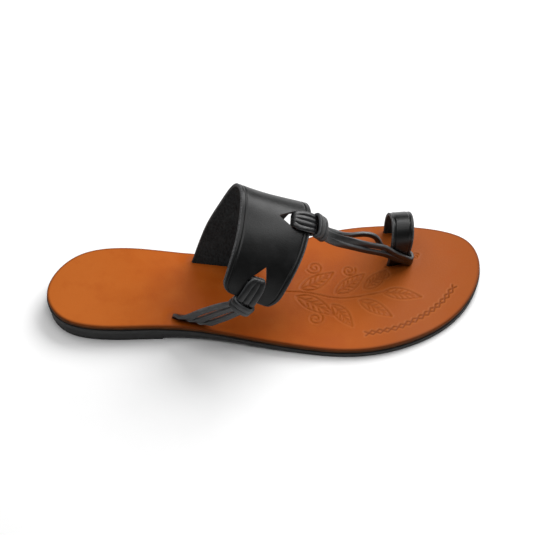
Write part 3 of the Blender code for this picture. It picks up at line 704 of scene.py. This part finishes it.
def strap_cut_edge():
    made, nodes, shader, place = new_material("strap_cut_edge", 0.75, specular=0.3)
    fibres = nodes.noise(place, 900.0, 4.0, 0.65)
    colour = nodes.blend(nodes.spread(fibres, 0.35, 0.7), (0.024, 0.024, 0.025), (0.105, 0.105, 0.107))
    set_colour(nodes, shader, colour)
    set_bump(nodes, shader, fibres, 0.4, 0.0002)
    return made


def lace_leather():
    made, nodes, shader, place = new_material("lace_black_leather", 0.38, specular=0.44)
    height, mottle = grain_at(nodes, place, 1500.0)
    cloud = nodes.noise(place, 260.0, 4.0, 0.6)
    colour = nodes.blend(nodes.spread(cloud, 0.35, 0.7), (0.0032, 0.0034, 0.0036), (0.0095, 0.0100, 0.0108))
    worn = nodes.math('POWER', nodes.attribute("worn"), 7.0)
    worn = nodes.math('MULTIPLY', worn, nodes.spread(mottle, 0.3, 0.7, 0.35, 1.0), clamp=True)
    colour = nodes.blend(worn, colour, (0.085, 0.088, 0.092))
    set_colour(nodes, shader, colour)
    set_roughness(nodes, shader, nodes.spread(cloud, 0.3, 0.75, 0.30, 0.46))
    set_bump(nodes, shader, height, 0.3, 0.0003)
    return made


# Tooling on the insole

def leaf_lines(along, aside, heading, length, width):
    """Outline, midrib and side veins of one leaf, as lines in plan."""
    turn = math.radians(heading)
    forward = np.array((math.cos(turn), math.sin(turn)))
    left = np.array((-forward[1], forward[0]))
    base = np.array((along, aside))
    share = np.linspace(0, 1, 15)[:, None]
    swell = np.sin(math.pi * share ** 0.8) * width / 2
    curve = 0.12 * length * share ** 2 * (1 if heading > 0 else -1)
    spine = base + forward * share * length + left * curve
    lines = [spine + left * swell, spine - left * swell, spine]
    for k in (3, 5, 7, 9):
        for side in (-1, 1):
            tip = spine[k + 2] + left * side * swell[k + 2] * 0.72
            lines.append(np.vstack([spine[k], (spine[k] + tip) / 2 + forward * 0.0003, tip]))
    return lines


def scroll_line(along, aside, radius, turns, start):
    share = np.linspace(0, 1, 30)
    angle = math.radians(start) + 2 * math.pi * turns * share
    reach = radius * (1 - 0.85 * share)
    return np.column_stack([along + reach * np.cos(angle), aside + reach * np.sin(angle)])


def zigzag_lines():
    """Two zigzags that cross each other, like a row of small crosses."""
    route = spline_through(ZIGZAG_PATH, 200)
    length = np.linalg.norm(np.diff(route, axis=0), axis=1).sum()
    teeth = int(round(length / ZIGZAG_PITCH))
    picks = np.linspace(0, 199, teeth + 1).astype(int)
    ahead = unit(np.gradient(route, axis=0))
    outward = np.column_stack([ahead[:, 1], -ahead[:, 0]])
    swing = np.where(np.arange(teeth + 1) % 2 == 0, 1.0, -1.0)[:, None] * ZIGZAG_REACH
    return [route[picks] + outward[picks] * swing, route[picks] - outward[picks] * swing]


def pressed(points, lines, width):
    """How fully each point lies in a pressed line, from 0 to 1."""
    depth = np.zeros(len(points))
    for line in lines:
        low, high = line.min(axis=0) - width, line.max(axis=0) + width
        near = ((points > low) & (points < high)).all(axis=1)
        if near.any():
            depth[near] = np.maximum(depth[near], bump_at(distance_to(points[near], line), width))
    return depth


def tool_lines():
    lines = [spline_through(STEM, 40)]
    for leaf in LEAVES:
        lines.extend(leaf_lines(*leaf))
    for scroll in SCROLLS:
        lines.append(scroll_line(*scroll))
    return lines


# The pieces

# How much closer the insole's points stand at the toe, where the leather is tooled
TOE_DENSITY = 0.10


def outline_share(u):
    """Eases the steps near the heel and the toe, so that the rim's points stay evenly apart."""
    ease = 0.06
    middle = (u - ease / 2) / (1 - ease)
    start = u ** 2 / (2 * ease) / (1 - ease)
    end = 1 - (1 - u) ** 2 / (2 * ease) / (1 - ease)
    share = np.where(u < ease, start, np.where(u > 1 - ease, end, middle))
    return share + TOE_DENSITY * np.sin(math.pi * share)


def sole_face(name, margin, columns, rows, height, end_at=None, marks=None):
    """One face of a sole layer, over the whole outline."""
    lateral, medial = edge_sides(outline_with_margin(margin))
    low = lateral[0, 0]
    high = lateral[-1, 0]

    def plan(u, v):
        if end_at is None:
            x = low + (high - low) * outline_share(u)
        else:
            ease = 0.10
            share = np.where(u < ease, u ** 2 / (2 * ease), u - ease / 2) / (1 - ease / 2)
            x = low + (end_at - low) * share
        near = np.interp(x, lateral[:, 0], lateral[:, 1])
        far = np.interp(x, medial[:, 0], medial[:, 1])
        return x, near + (far - near) * v

    def place(u, v):
        x, y = plan(u, v)
        return np.column_stack([x, y, height(x, y)])

    def named(u, v):
        x, y = plan(u, v)
        return marks(x, y) if marks else {}

    return sheet_of(name, columns, rows, place, named)


def rim_drop(x, y, outline, radius):
    """How much a rounded rim lies lower at a point."""
    gap = np.minimum(distance_to(np.column_stack([x, y]), outline, closed=True), radius)
    return radius - np.sqrt(np.maximum(radius ** 2 - (radius - gap) ** 2, 0.0))


def bridge(name, upper, lower, cuts):
    """Joins two faces of a layer by a wall between their rims."""
    piece = join([upper, lower], name)
    close_up(piece, distance=0.000001, wall_cuts=cuts)
    return piece


def slot_block(name, surface, thickness, far_end=False):
    """The cutter of the slot that a strap's leg goes through, with rounded ends."""
    low, high = -2 * INSOLE_THICKNESS, 0.9 * INSOLE_THICKNESS
    radius = thickness / 2 + SEAM
    turn = math.pi * np.arange(9) / 8
    ends = np.concatenate([surface.width - thickness / 2 + radius * np.sin(turn),
                           thickness / 2 - radius * np.sin(turn)])
    lifts = np.concatenate([radius * np.cos(turn), -radius * np.cos(turn)]) - thickness / 2
    count = len(ends)

    def place(u, v):
        along = low + (high - low) * u
        if far_end:
            along = surface.length - along
        j = np.rint(v * count).astype(int) % count
        return surface.point(along, ends[j] / surface.width, lifts[j])

    block = sheet_of(name, 6, count, place)
    close_up(block)
    return block


def make_insole(top_finish, side_finish):
    outline = outline_with_margin(0.0)
    medial_slot = np.array([(BAND_RIBS[0][0] * SOLE_LENGTH, BAND_RIBS[0][1] * BALL_WIDTH),
                            (BAND_RIBS[0][3] * SOLE_LENGTH, BAND_RIBS[0][4] * BALL_WIDTH)])
    ring_slots = [np.array([(RING_RIBS[k][0] * SOLE_LENGTH, RING_RIBS[k][1] * BALL_WIDTH),
                            (RING_RIBS[k][0] * SOLE_LENGTH + RING_STRAP_WIDTH,
                             (RING_RIBS[k][1] + RING_RIBS[k][3]) * BALL_WIDTH)]) for k in (0, -1)]
    side_foot, side_turn = side_slot_place()
    half = unit(side_turn[:2]) * (SIDE_SLOT_PITCH + SIDE_STRIP_PITCH / 2)
    side_slot = np.array([side_foot[:2] - half, side_foot[:2] + half])
    stitches = zigzag_lines()
    leaves = tool_lines()

    slots = [medial_slot, side_slot] + ring_slots

    def gap_to_slots(points):
        return np.minimum.reduce([distance_to(points, line) for line in slots])

    def top_height(x, y):
        points = np.column_stack([x, y])
        cut = pressed(points, leaves, LEAF_LINE)
        lips = pressed(points, leaves, LEAF_LIP) * (1 - cut)
        sunk = 0.00042 * cut - 0.00026 * lips + 0.0005 * pressed(points, stitches, ZIGZAG_LINE)
        pulled = 0.0006 * bump_at(gap_to_slots(points) - 0.003, 0.006)
        waves = 0.00035 * np.sin(x * 61 + y * 38) * np.sin(y * 47 - x * 23)
        return insole_top(x) - rim_drop(x, y, outline, INSOLE_RIM_ROUND) - sunk + pulled * 0.6 + waves

    def top_marks(x, y):
        points = np.column_stack([x, y])
        share = x / SOLE_LENGTH
        # Painted highlight: the insole turns paler towards the heel
        pale = 0.75 * (1 - smooth_step((share - 0.05) / 0.32))
        rose = 0.85 * smooth_step((share - 0.58) / 0.24)
        shaded = 0.22 * bump_at(share - 0.44, 0.24) * smooth_step((0.002 - y) / 0.030)
        cut, row = pressed(points, leaves, LEAF_LINE), pressed(points, stitches, ZIGZAG_LINE)
        # Painted highlight: the swollen lips beside the leaf lines and the zigzag are lighter
        lips = (0.42 * pressed(points, leaves, 0.0022) * (1 - cut)
                + 0.50 * pressed(points, stitches, 0.0020) * (1 - row))
        # Darker at the rim for its burnished edge, and painted shade round the slots where the straps rise
        # from the insole
        burnish_and_shade = bump_at(distance_to(points, outline, closed=True), 0.0022) * 0.75
        burnish_and_shade = np.maximum(burnish_and_shade, 0.35 * bump_at(gap_to_slots(points), 0.006))
        return {"tooled": cut, "stitched": 0.62 * row, "lips": np.minimum(lips, 0.6),
                "burnished_and_shaded": burnish_and_shade, "pale": pale, "rose": rose, "shaded": shaded}

    top = sole_face("insole_top", 0.0, 430, 160, top_height, marks=top_marks)
    base = sole_face("insole_base", -0.0002, 430, 10, lambda x, y: insole_bottom(x))
    piece = bridge("insole_leather_board", top, base, 3)
    cut_out(piece, [slot_block("band_slot", BAND, BAND_THICKNESS),
                    slot_block("ring_slot", RING, RING_THICKNESS),
                    slot_block("ring_far_slot", RING, RING_THICKNESS, far_end=True),
                    side_slot_block()])
    dress(piece, [top_finish, side_finish], "insole")
    normals = np.empty(3 * len(piece.data.polygons))
    piece.data.polygons.foreach_get("normal", normals)
    slots = (normals.reshape(-1, 3)[:, 2] < 0.35).astype(np.int32)
    piece.data.polygons.foreach_set("material_index", slots)
    return piece


def make_outsole(finish):
    outline = outline_with_margin(OUTSOLE_LIP)
    top = sole_face("outsole_top", OUTSOLE_LIP, 300, 12,
                    lambda x, y: outsole_top(x) - rim_drop(x, y, outline, 0.0004))
    base = sole_face("outsole_base", OUTSOLE_LIP - 0.0003, 300, 40, lambda x, y: outsole_bottom(x))
    return dress(bridge("rubber_outsole", top, base, 4), [finish], "outsole")


def make_heel(finish):
    end = HEEL_BLOCK_LENGTH + SHANK_WEDGE_LENGTH
    top = sole_face("heel_top", -HEEL_BLOCK_INSET, 150, 12, lambda x, y: heel_top(x), end_at=end)
    base = sole_face("heel_base", -HEEL_BLOCK_INSET - 0.0004, 150, 24, lambda x, y: heel_bottom(x),
                     end_at=end)
    return dress(bridge("rubber_heel_block", top, base, 3), [finish], "heel_block")


def strap_profile(width, thickness, crease_at, face_count, rim_count):
    """Once round a strap's section: (distance in from the rear rim, lift, slot, wear).

    The outer face has a pressed line beside each rim, the rims are rounded, and the inner
    face is plain.
    """
    rows = []
    radius = 0.45 * thickness
    middle = thickness / 2
    turns = [math.pi * k / rim_count for k in range(1, rim_count)]
    for k in range(face_count + 1):
        inset = radius + (width - 2 * radius) * (k / face_count)
        crease = bump_at(inset - crease_at, 0.0007) + bump_at(width - inset - crease_at, 0.0007)
        rim = min(inset, width - inset)
        crown = -0.00022 * bump_at(rim - radius, 0.0016)
        wear = 0.22 * float(bump_at(rim - radius, 0.0012))
        rows.append((inset, float(-0.00042 * crease + crown), 0, wear))
    for turn in turns:
        rows.append((width - radius + radius * math.sin(turn), -middle + middle * math.cos(turn), 1, 0.0))
    for k in range(face_count // 2 + 1):
        share = k / (face_count // 2)
        rows.append((width - radius - (width - 2 * radius) * share, -thickness, 2, 0.0))
    for turn in turns:
        rows.append((radius - radius * math.sin(turn), -middle - middle * math.cos(turn), 1, 0.0))
    return np.array(rows)


def strap_piece(name, surface, places, thickness, crease_at, face_count, drawn, ripple, face_below=False):
    """A strap: its section carried along the places; drawn(along) narrows it at a round end.

    Where face_below is true, its outer face is on the other side of the surface.
    """
    profile = strap_profile(surface.width, thickness, crease_at, face_count, 8)
    around = len(profile)
    places = np.asarray(places)

    def rows_at(u, v):
        i = np.rint(u * (len(places) - 1)).astype(int)
        j = np.rint(v * around).astype(int) % around
        return places[i], profile[j]

    def place(u, v):
        along, row = rows_at(u, v)
        inset, thin = drawn(along)
        share = row[:, 0] / surface.width
        across = share + inset / surface.width * (1 - 2 * share)
        middle = -thickness / 2
        turned = -1 if face_below else 1
        lift = middle + (row[:, 1] - middle) * thin * turned
        return surface.point(along, across, lift + ripple(along, across))

    def marks(u, v):
        return {"worn": rows_at(u, v)[1][:, 3]}

    def finish_of(u, v):
        j = np.floor(v * around).astype(int) % around
        return np.maximum(profile[j, 2], profile[(j + 1) % around, 2] * (profile[j, 2] == 0))

    piece = sheet_of(name, len(places) - 1, around, place, marks, finish_of)
    close_up(piece)
    return piece


def keep_over(piece, height):
    """Ends a piece's feet at the insole's underside."""
    points = corners_of(piece)
    points[:, 2] = np.maximum(points[:, 2], height(points[:, 0] - SHIFT[0]))
    move_corners(piece, points)


def triangle_block(name, place, hole_depth):
    base = hole_depth - TRIANGLE_FILL
    half = TRIANGLE_WIDTH / 2
    corners = np.array(((-half, base), (half, base), (0.0, base + TRIANGLE_HEIGHT)))
    points = []
    for here, ahead in zip(corners, np.roll(corners, -1, axis=0)):
        for share in (0.06, 0.3, 0.5, 0.7, 0.94):
            points.append(here + (ahead - here) * share)
    points = np.array(points)

    def at(u, v):
        j = np.rint(v * len(points)).astype(int) % len(points)
        lift = BAND_THICKNESS * (-2.5 + 4.0 * u)
        return place(points[j, 0], points[j, 1], lift)

    block = sheet_of(name, 3, len(points), at)
    close_up(block)
    return block


def make_band(finishes):
    tail = BAND_CORNER
    straight = np.linspace(0.0, BAND.length - tail, 150)
    round_end = BAND.length - tail + tail * np.sin(np.linspace(0, math.pi / 2, 26))[1:]
    places = np.concatenate([[-INSOLE_THICKNESS, -0.5 * INSOLE_THICKNESS], straight, round_end])

    def drawn(along):
        left = np.maximum(BAND.length - along, 0.0)
        inset = tail - np.sqrt(np.maximum(tail ** 2 - np.maximum(tail - left, 0.0) ** 2, 0.0))
        thin = np.sqrt(np.clip(1 - (1 - left / 0.0011) ** 2, 0.12, 1.0))
        thin = np.where(left > 0.0011, 1.0, thin)
        return inset, thin

    def ripple(along, across):
        rim_wave = 0.0005 * np.sin(along * 95 + 0.6) * np.abs(2 * across - 1) ** 3
        broad = 0.0005 * np.sin(along * 52 + across * 3.1) * np.sin(math.pi * across)
        fade = smooth_step(along / 0.012) * smooth_step((BAND.length - along) / 0.010)
        return (rim_wave + broad) * fade

    band = strap_piece("instep_band_leather", BAND, places, BAND_THICKNESS, 0.0034, 120, drawn, ripple)
    keep_over(band, insole_bottom)
    cutters = [triangle_block("top_triangle", over_front_rim, TOE_HITCH_DEPTH),
               triangle_block("side_triangle", over_free_end, SIDE_HITCH_DEPTH)]
    for cutter in cutters:
        for finish in finishes:
            cutter.data.materials.append(finish)
        for face in cutter.data.polygons:
            face.material_index = 1
    for finish in finishes:
        band.data.materials.append(finish)
    cut_out(band, cutters)
    return dress(band, finishes, "instep_band")


def make_ring(finishes):
    places = np.concatenate([[-INSOLE_THICKNESS], np.linspace(0.0, RING.length, 120),
                             [RING.length + INSOLE_THICKNESS]])

    def drawn(along):
        return np.zeros_like(along), np.ones_like(along)

    def ripple(along, across):
        return 0.0002 * np.sin(along * 160) * (2 * across - 1)

    ring = strap_piece("toe_ring_leather", RING, places, RING_THICKNESS, 0.0022, 48, drawn, ripple, True)
    keep_over(ring, insole_bottom)
    return dress(ring, finishes, "toe_ring")


# Laces

def strand_rows(start, end, bow):
    return [start + (end - start) * share + np.array((0.0, medial * BALL_WIDTH, up * BALL_WIDTH))
            for share, medial, up in bow]


def collar_middle():
    middle = over_front_rim(0.0, -TOE_COLLAR_LEAD, -BAND_THICKNESS / 2)
    broad = unit(over_front_rim(0.001, -TOE_COLLAR_LEAD, 0.0) - over_front_rim(-0.001, -TOE_COLLAR_LEAD, 0.0))
    return middle, broad


def round_the_leg(turn):
    """Points of a lace that passes outside the ring's leg, round its front rim and inside."""
    clear = 1.4 * SEAM + LACE_THICKNESS / 2
    half = RING_THICKNESS / 2
    return [RING.point(rise, across, -half + side * (half + clear)) for rise, across, side in turn]


def toe_strand(start, turn, end=None):
    """One strand from the collar round the ring's leg, and back to the collar if it has an end."""
    rows = [start] + strand_rows(start, turn[0], NEAR_STRAND_BOW) + turn
    if end is not None:
        rows = rows + strand_rows(end, turn[-1], FAR_STRAND_BOW)[::-1] + [end]
    return spline_through(rows, 240 if end is not None else 150)


def lace_sides(count, broad, back):
    """Directions of the lace's width: along the band's rim in the collar, down at the ring."""
    place = np.arange(count)
    down = unit(RING.flat(0.0, 0.5) - RING.flat(UPPER_TURN[0][0], 0.5))
    share = smooth_step(place / (0.30 * count))[:, None]
    sides = broad * (1 - share) + down * share
    if back:
        share = smooth_step((count - 1 - place) / (0.25 * count))[:, None]
        sides = np.where((place > count / 2)[:, None], -broad * (1 - share) + down * share, sides)
    return sides


def wrap_path(place, hole_depth, reach, side, lean):
    """One strand of a hitch, all the way round: out of the hole, over the rim, back inside."""
    half = LACE_THICKNESS / 2
    outer = SEAM + half
    inner = -BAND_THICKNESS - SEAM - half
    path = (
        (hole_depth, inner * 0.35, 0.58), (hole_depth - 0.0006, outer * 0.75, 0.66),
        (hole_depth - 0.0026, outer, 0.86), (hole_depth * 0.42, outer + 0.0003, 1.0),
        (0.0006, outer + 0.0001, 1.0), (0.0006 - reach, outer * 0.55, 0.96),
        (-reach, (outer + inner) / 2, 0.94), (0.0006 - reach, inner * 0.86, 0.94),
        (0.0008, inner - 0.0002, 0.92), (hole_depth * 0.45, inner - 0.0002, 0.84),
        (hole_depth - 0.0016, inner - 0.0001, 0.66),
    )
    loop = spline_through([(a, b, share * half) for a, b, share in path], 72, closed=True)
    depth, lift, share = loop[:, 0], loop[:, 1], loop[:, 2] / half
    middle = place(side * share + lean * depth, depth, lift)
    beside = place(side * share + lean * depth + 0.0005, depth, lift)
    return middle, unit(beside - middle)


def make_hitch(name, place, hole_depth, reach, leans, finish):
    """Strands of lace side by side, each with its own lean."""
    pitch = HITCH_WIDTH / len(leans)
    for k, lean in enumerate(leans):
        side = (k - (len(leans) - 1) / 2) * pitch
        route, sides = wrap_path(place, hole_depth, reach, side, lean)
        piece = strip(f"{name}_{k + 1}", route, sides, pitch * 0.93, LACE_THICKNESS, closed=True,
                      softness=0.72)
        dress(piece, [finish])


def make_collar(name, middle, axis, broad, length, finish):
    """Two turns of lace round the strands, each a little askew."""
    axis = unit(axis)
    side = broad - axis * np.dot(broad, axis)
    half_broad = np.linalg.norm(side) - LACE_THICKNESS / 2
    side = unit(side)
    rise = np.cross(axis, side)
    half_thick = (COLLAR_THICKNESS - LACE_THICKNESS) / 2
    turn = 2 * math.pi * np.arange(72) / 72
    for k, (shift, skew) in enumerate(((-0.25, 0.09), (0.25, 0.05))):
        a = np.sign(np.cos(turn)) * np.abs(np.cos(turn)) ** 0.8
        b = np.sign(np.sin(turn)) * np.abs(np.sin(turn)) ** 0.8
        lengthwise = length * (shift + skew * np.sin(turn + 0.6))
        route = (middle + axis * lengthwise[:, None] + side * (a * half_broad)[:, None]
                 + rise * (b * half_thick)[:, None])
        sides = np.tile(axis, (72, 1))
        piece = strip(f"{name}_{k + 1}", route, sides, length * 0.50, LACE_THICKNESS, closed=True)
        dress(piece, [finish])


def make_toe_lace(finish):
    middle, broad = collar_middle()
    upper_turn, lower_turn = round_the_leg(UPPER_TURN), round_the_leg(LOWER_TURN)
    loop = toe_strand(middle, upper_turn, middle - broad * LACE_PITCH)
    tail = toe_strand(middle + broad * LACE_PITCH, lower_turn)
    strands = (("toe_lace_loop", loop, True, "toe_lace"), ("toe_lace_tail", tail, False, None))
    for name, route, back, node in strands:
        lace = strip(name, route, lace_sides(len(route), broad, back), LACE_WIDTH, LACE_THICKNESS)
        dress(lace, [finish], node)
    make_collar("toe_collar_wrap", middle, loop[14] - loop[0], broad * COLLAR_HALF_BROAD,
                TOE_COLLAR_LENGTH, finish)
    make_hitch("toe_hitch_wrap", over_front_rim, TOE_HITCH_DEPTH, TOE_HITCH_REACH,
               (0.03, 0.0, -0.02, 0.03), finish)


def side_slot_place():
    slot_x = SIDE_SLOT_PLACE * SOLE_LENGTH
    lateral = edge_sides(OUTLINE)[0]
    slot_y = np.interp(slot_x, lateral[:, 0], lateral[:, 1]) + SIDE_SLOT_MARGIN + SIDE_STRAP_THICKNESS / 2
    return np.array((slot_x, slot_y, insole_top(slot_x))), np.array((1.0, SIDE_SLOT_TURN, 0.0))


def side_slot_block():
    slot, along_slot = side_slot_place()
    along_slot = unit(along_slot)
    aside = np.array((-along_slot[1], along_slot[0], 0.0))
    half_long = 1.5 * SIDE_SLOT_PITCH
    half_wide = SIDE_STRAP_THICKNESS / 2 + SEAM / 3
    ring = np.array(((-1, -1), (1, -1), (1, 1), (-1, 1)))

    def place(u, v):
        j = np.rint(v * 4).astype(int) % 4
        low_high = slot[2] + INSOLE_THICKNESS * (-2 + 2.9 * u)
        points = slot + along_slot * (ring[j, :1] * half_long) + aside * (ring[j, 1:2] * half_wide)
        points[:, 2] = low_high
        return points

    block = sheet_of("side_slot", 2, 4, place)
    close_up(block)
    return block


def side_strip_route(middle, along_rim, k):
    """One of the three side strips, from the collar to its own place in the slot."""
    slot, along_slot = side_slot_place()
    along_slot = unit(along_slot)
    start, end = middle + along_rim * k * SIDE_STRIP_PITCH, slot + along_slot * k * SIDE_SLOT_PITCH
    rows = [start]
    apart = np.array((0.60, -0.35, -0.72)) * k * SIDE_STRIP_SPREAD
    for share, outward, drop in SIDE_LACE_BOW:
        bow = np.array((0.0, -outward * BALL_WIDTH, -drop * BALL_WIDTH)) + apart * math.sin(math.pi * share)
        rows.append(start + (end - start) * share + bow)
    down = np.array((0.0, 0.0, INSOLE_THICKNESS))
    rows.extend([end + down * 0.55, end - down * 0.35, end - down * 0.98])
    route = spline_through(rows, 130)
    share = smooth_step(np.arange(130) / 90)[:, None]
    return route, along_rim * (1 - share) + along_slot * share


def make_side_lace(finish):
    middle = over_free_end(0.0, -SIDE_COLLAR_LEAD, -BAND_THICKNESS / 2)
    along_rim = unit(BAND.front[-1] - BAND.rear[-1])
    for k in (-1, 0, 1):
        route, sides = side_strip_route(middle, along_rim, k)
        swell = 1 + 0.5 * smooth_step((np.arange(len(route)) - 75) / 40)
        strand = strip(f"side_lace_strip_{k + 2}", route, sides, SIDE_STRIP_PITCH * 0.96,
                       SIDE_STRAP_THICKNESS, swell=swell)
        keep_over(strand, insole_bottom)
        dress(strand, [finish], "side_lace")
        if k == 0:
            lead = route[14] - route[0]
    down = unit(middle - over_free_end(0.0, 0.0, -BAND_THICKNESS / 2))
    axis = unit(lead) + down
    make_collar("side_collar_wrap", middle, axis, along_rim * COLLAR_HALF_BROAD, SIDE_COLLAR_LENGTH, finish)
    make_hitch("side_hitch_wrap", over_free_end, SIDE_HITCH_DEPTH, SIDE_HITCH_REACH,
               (0.05, 0.0, -0.04), finish)


# Studio

def make_floor():
    bpy.ops.object.select_all(action='DESELECT')
    bpy.ops.mesh.primitive_circle_add(vertices=160, radius=1.5, fill_type='NGON', location=(0, 0, 0))
    floor = bpy.context.object
    floor.name = "floor"
    made, nodes, shader, place = new_material("floor_paper", 0.9, specular=0.1)
    grain = nodes.noise(place, 40.0, 3.0, 0.5)
    set_colour(nodes, shader, nodes.blend(grain, (0.86, 0.86, 0.86), (0.90, 0.90, 0.90)))
    floor.data.materials.append(made)


def add_light(name, place, aim, size, power, tone=(1.0, 1.0, 1.0)):
    light = bpy.data.lights.new(name, 'AREA')
    light.shape = 'RECTANGLE'
    light.size, light.size_y = size
    light.energy = power
    light.color = tone
    lamp = bpy.data.objects.new(name, light)
    bpy.context.collection.objects.link(lamp)
    lamp.location = place
    lamp.rotation_euler = (Vector(aim) - Vector(place)).to_track_quat('-Z', 'Y').to_euler()


def make_studio():
    bpy.context.scene.view_settings.view_transform = 'Standard'
    world = bpy.data.worlds.new("studio")
    bpy.context.scene.world = world
    world.use_nodes = True
    nodes = Nodes(world.node_tree)
    back = world.node_tree.nodes["Background"]
    back.inputs[0].default_value = (1.0, 1.0, 1.0, 1)
    # The room is dim where it lights the sandal, and pale where it is seen
    seen = nodes.add('ShaderNodeLightPath').outputs['Is Camera Ray']
    world.node_tree.links.new(nodes.spread(seen, 0.0, 1.0, 0.12, 0.95), back.inputs[1])
    add_light("overhead_softbox", (-0.10, 0.00, 1.20), (0, 0.0, 0.02), (1.1, 1.0), 9.2)
    add_light("side_softbox", (0.64, 0.66, 0.94), (0, 0, 0.03), (1.0, 0.8), 19.0)


# The photograph's camera: where it stands from the sole, and how it turns
CAMERA_PLACE = (0.0967, -0.5013, 0.6511)
CAMERA_AIM = (0.1330, -0.0040, 0.0300)
LENS_MM = 90.0


def make_camera():
    camera = bpy.data.cameras.new("photo_camera")
    camera.lens = LENS_MM
    camera.sensor_width = 36.0
    holder = bpy.data.objects.new("photo_camera", camera)
    bpy.context.collection.objects.link(holder)
    place = Vector(np.array(CAMERA_PLACE) + SHIFT)
    aim = Vector(np.array(CAMERA_AIM) + SHIFT)
    holder.location = place
    holder.rotation_euler = (aim - place).to_track_quat('-Z', 'Y').to_euler()
    bpy.context.scene.camera = holder


def main():
    make_camera()
    make_floor()
    make_studio()
    strap_finishes = [strap_face(), strap_cut_edge(), strap_flesh()]
    laces = lace_leather()
    make_insole(insole_leather(), insole_side())
    make_outsole(sole_rubber("outsole_black_rubber", (0.030, 0.030, 0.030)))
    make_heel(sole_rubber("heel_black_rubber", (0.026, 0.026, 0.026)))
    make_band(strap_finishes)
    make_ring(strap_finishes)
    make_toe_lace(laces)
    make_side_lace(laces)


main()
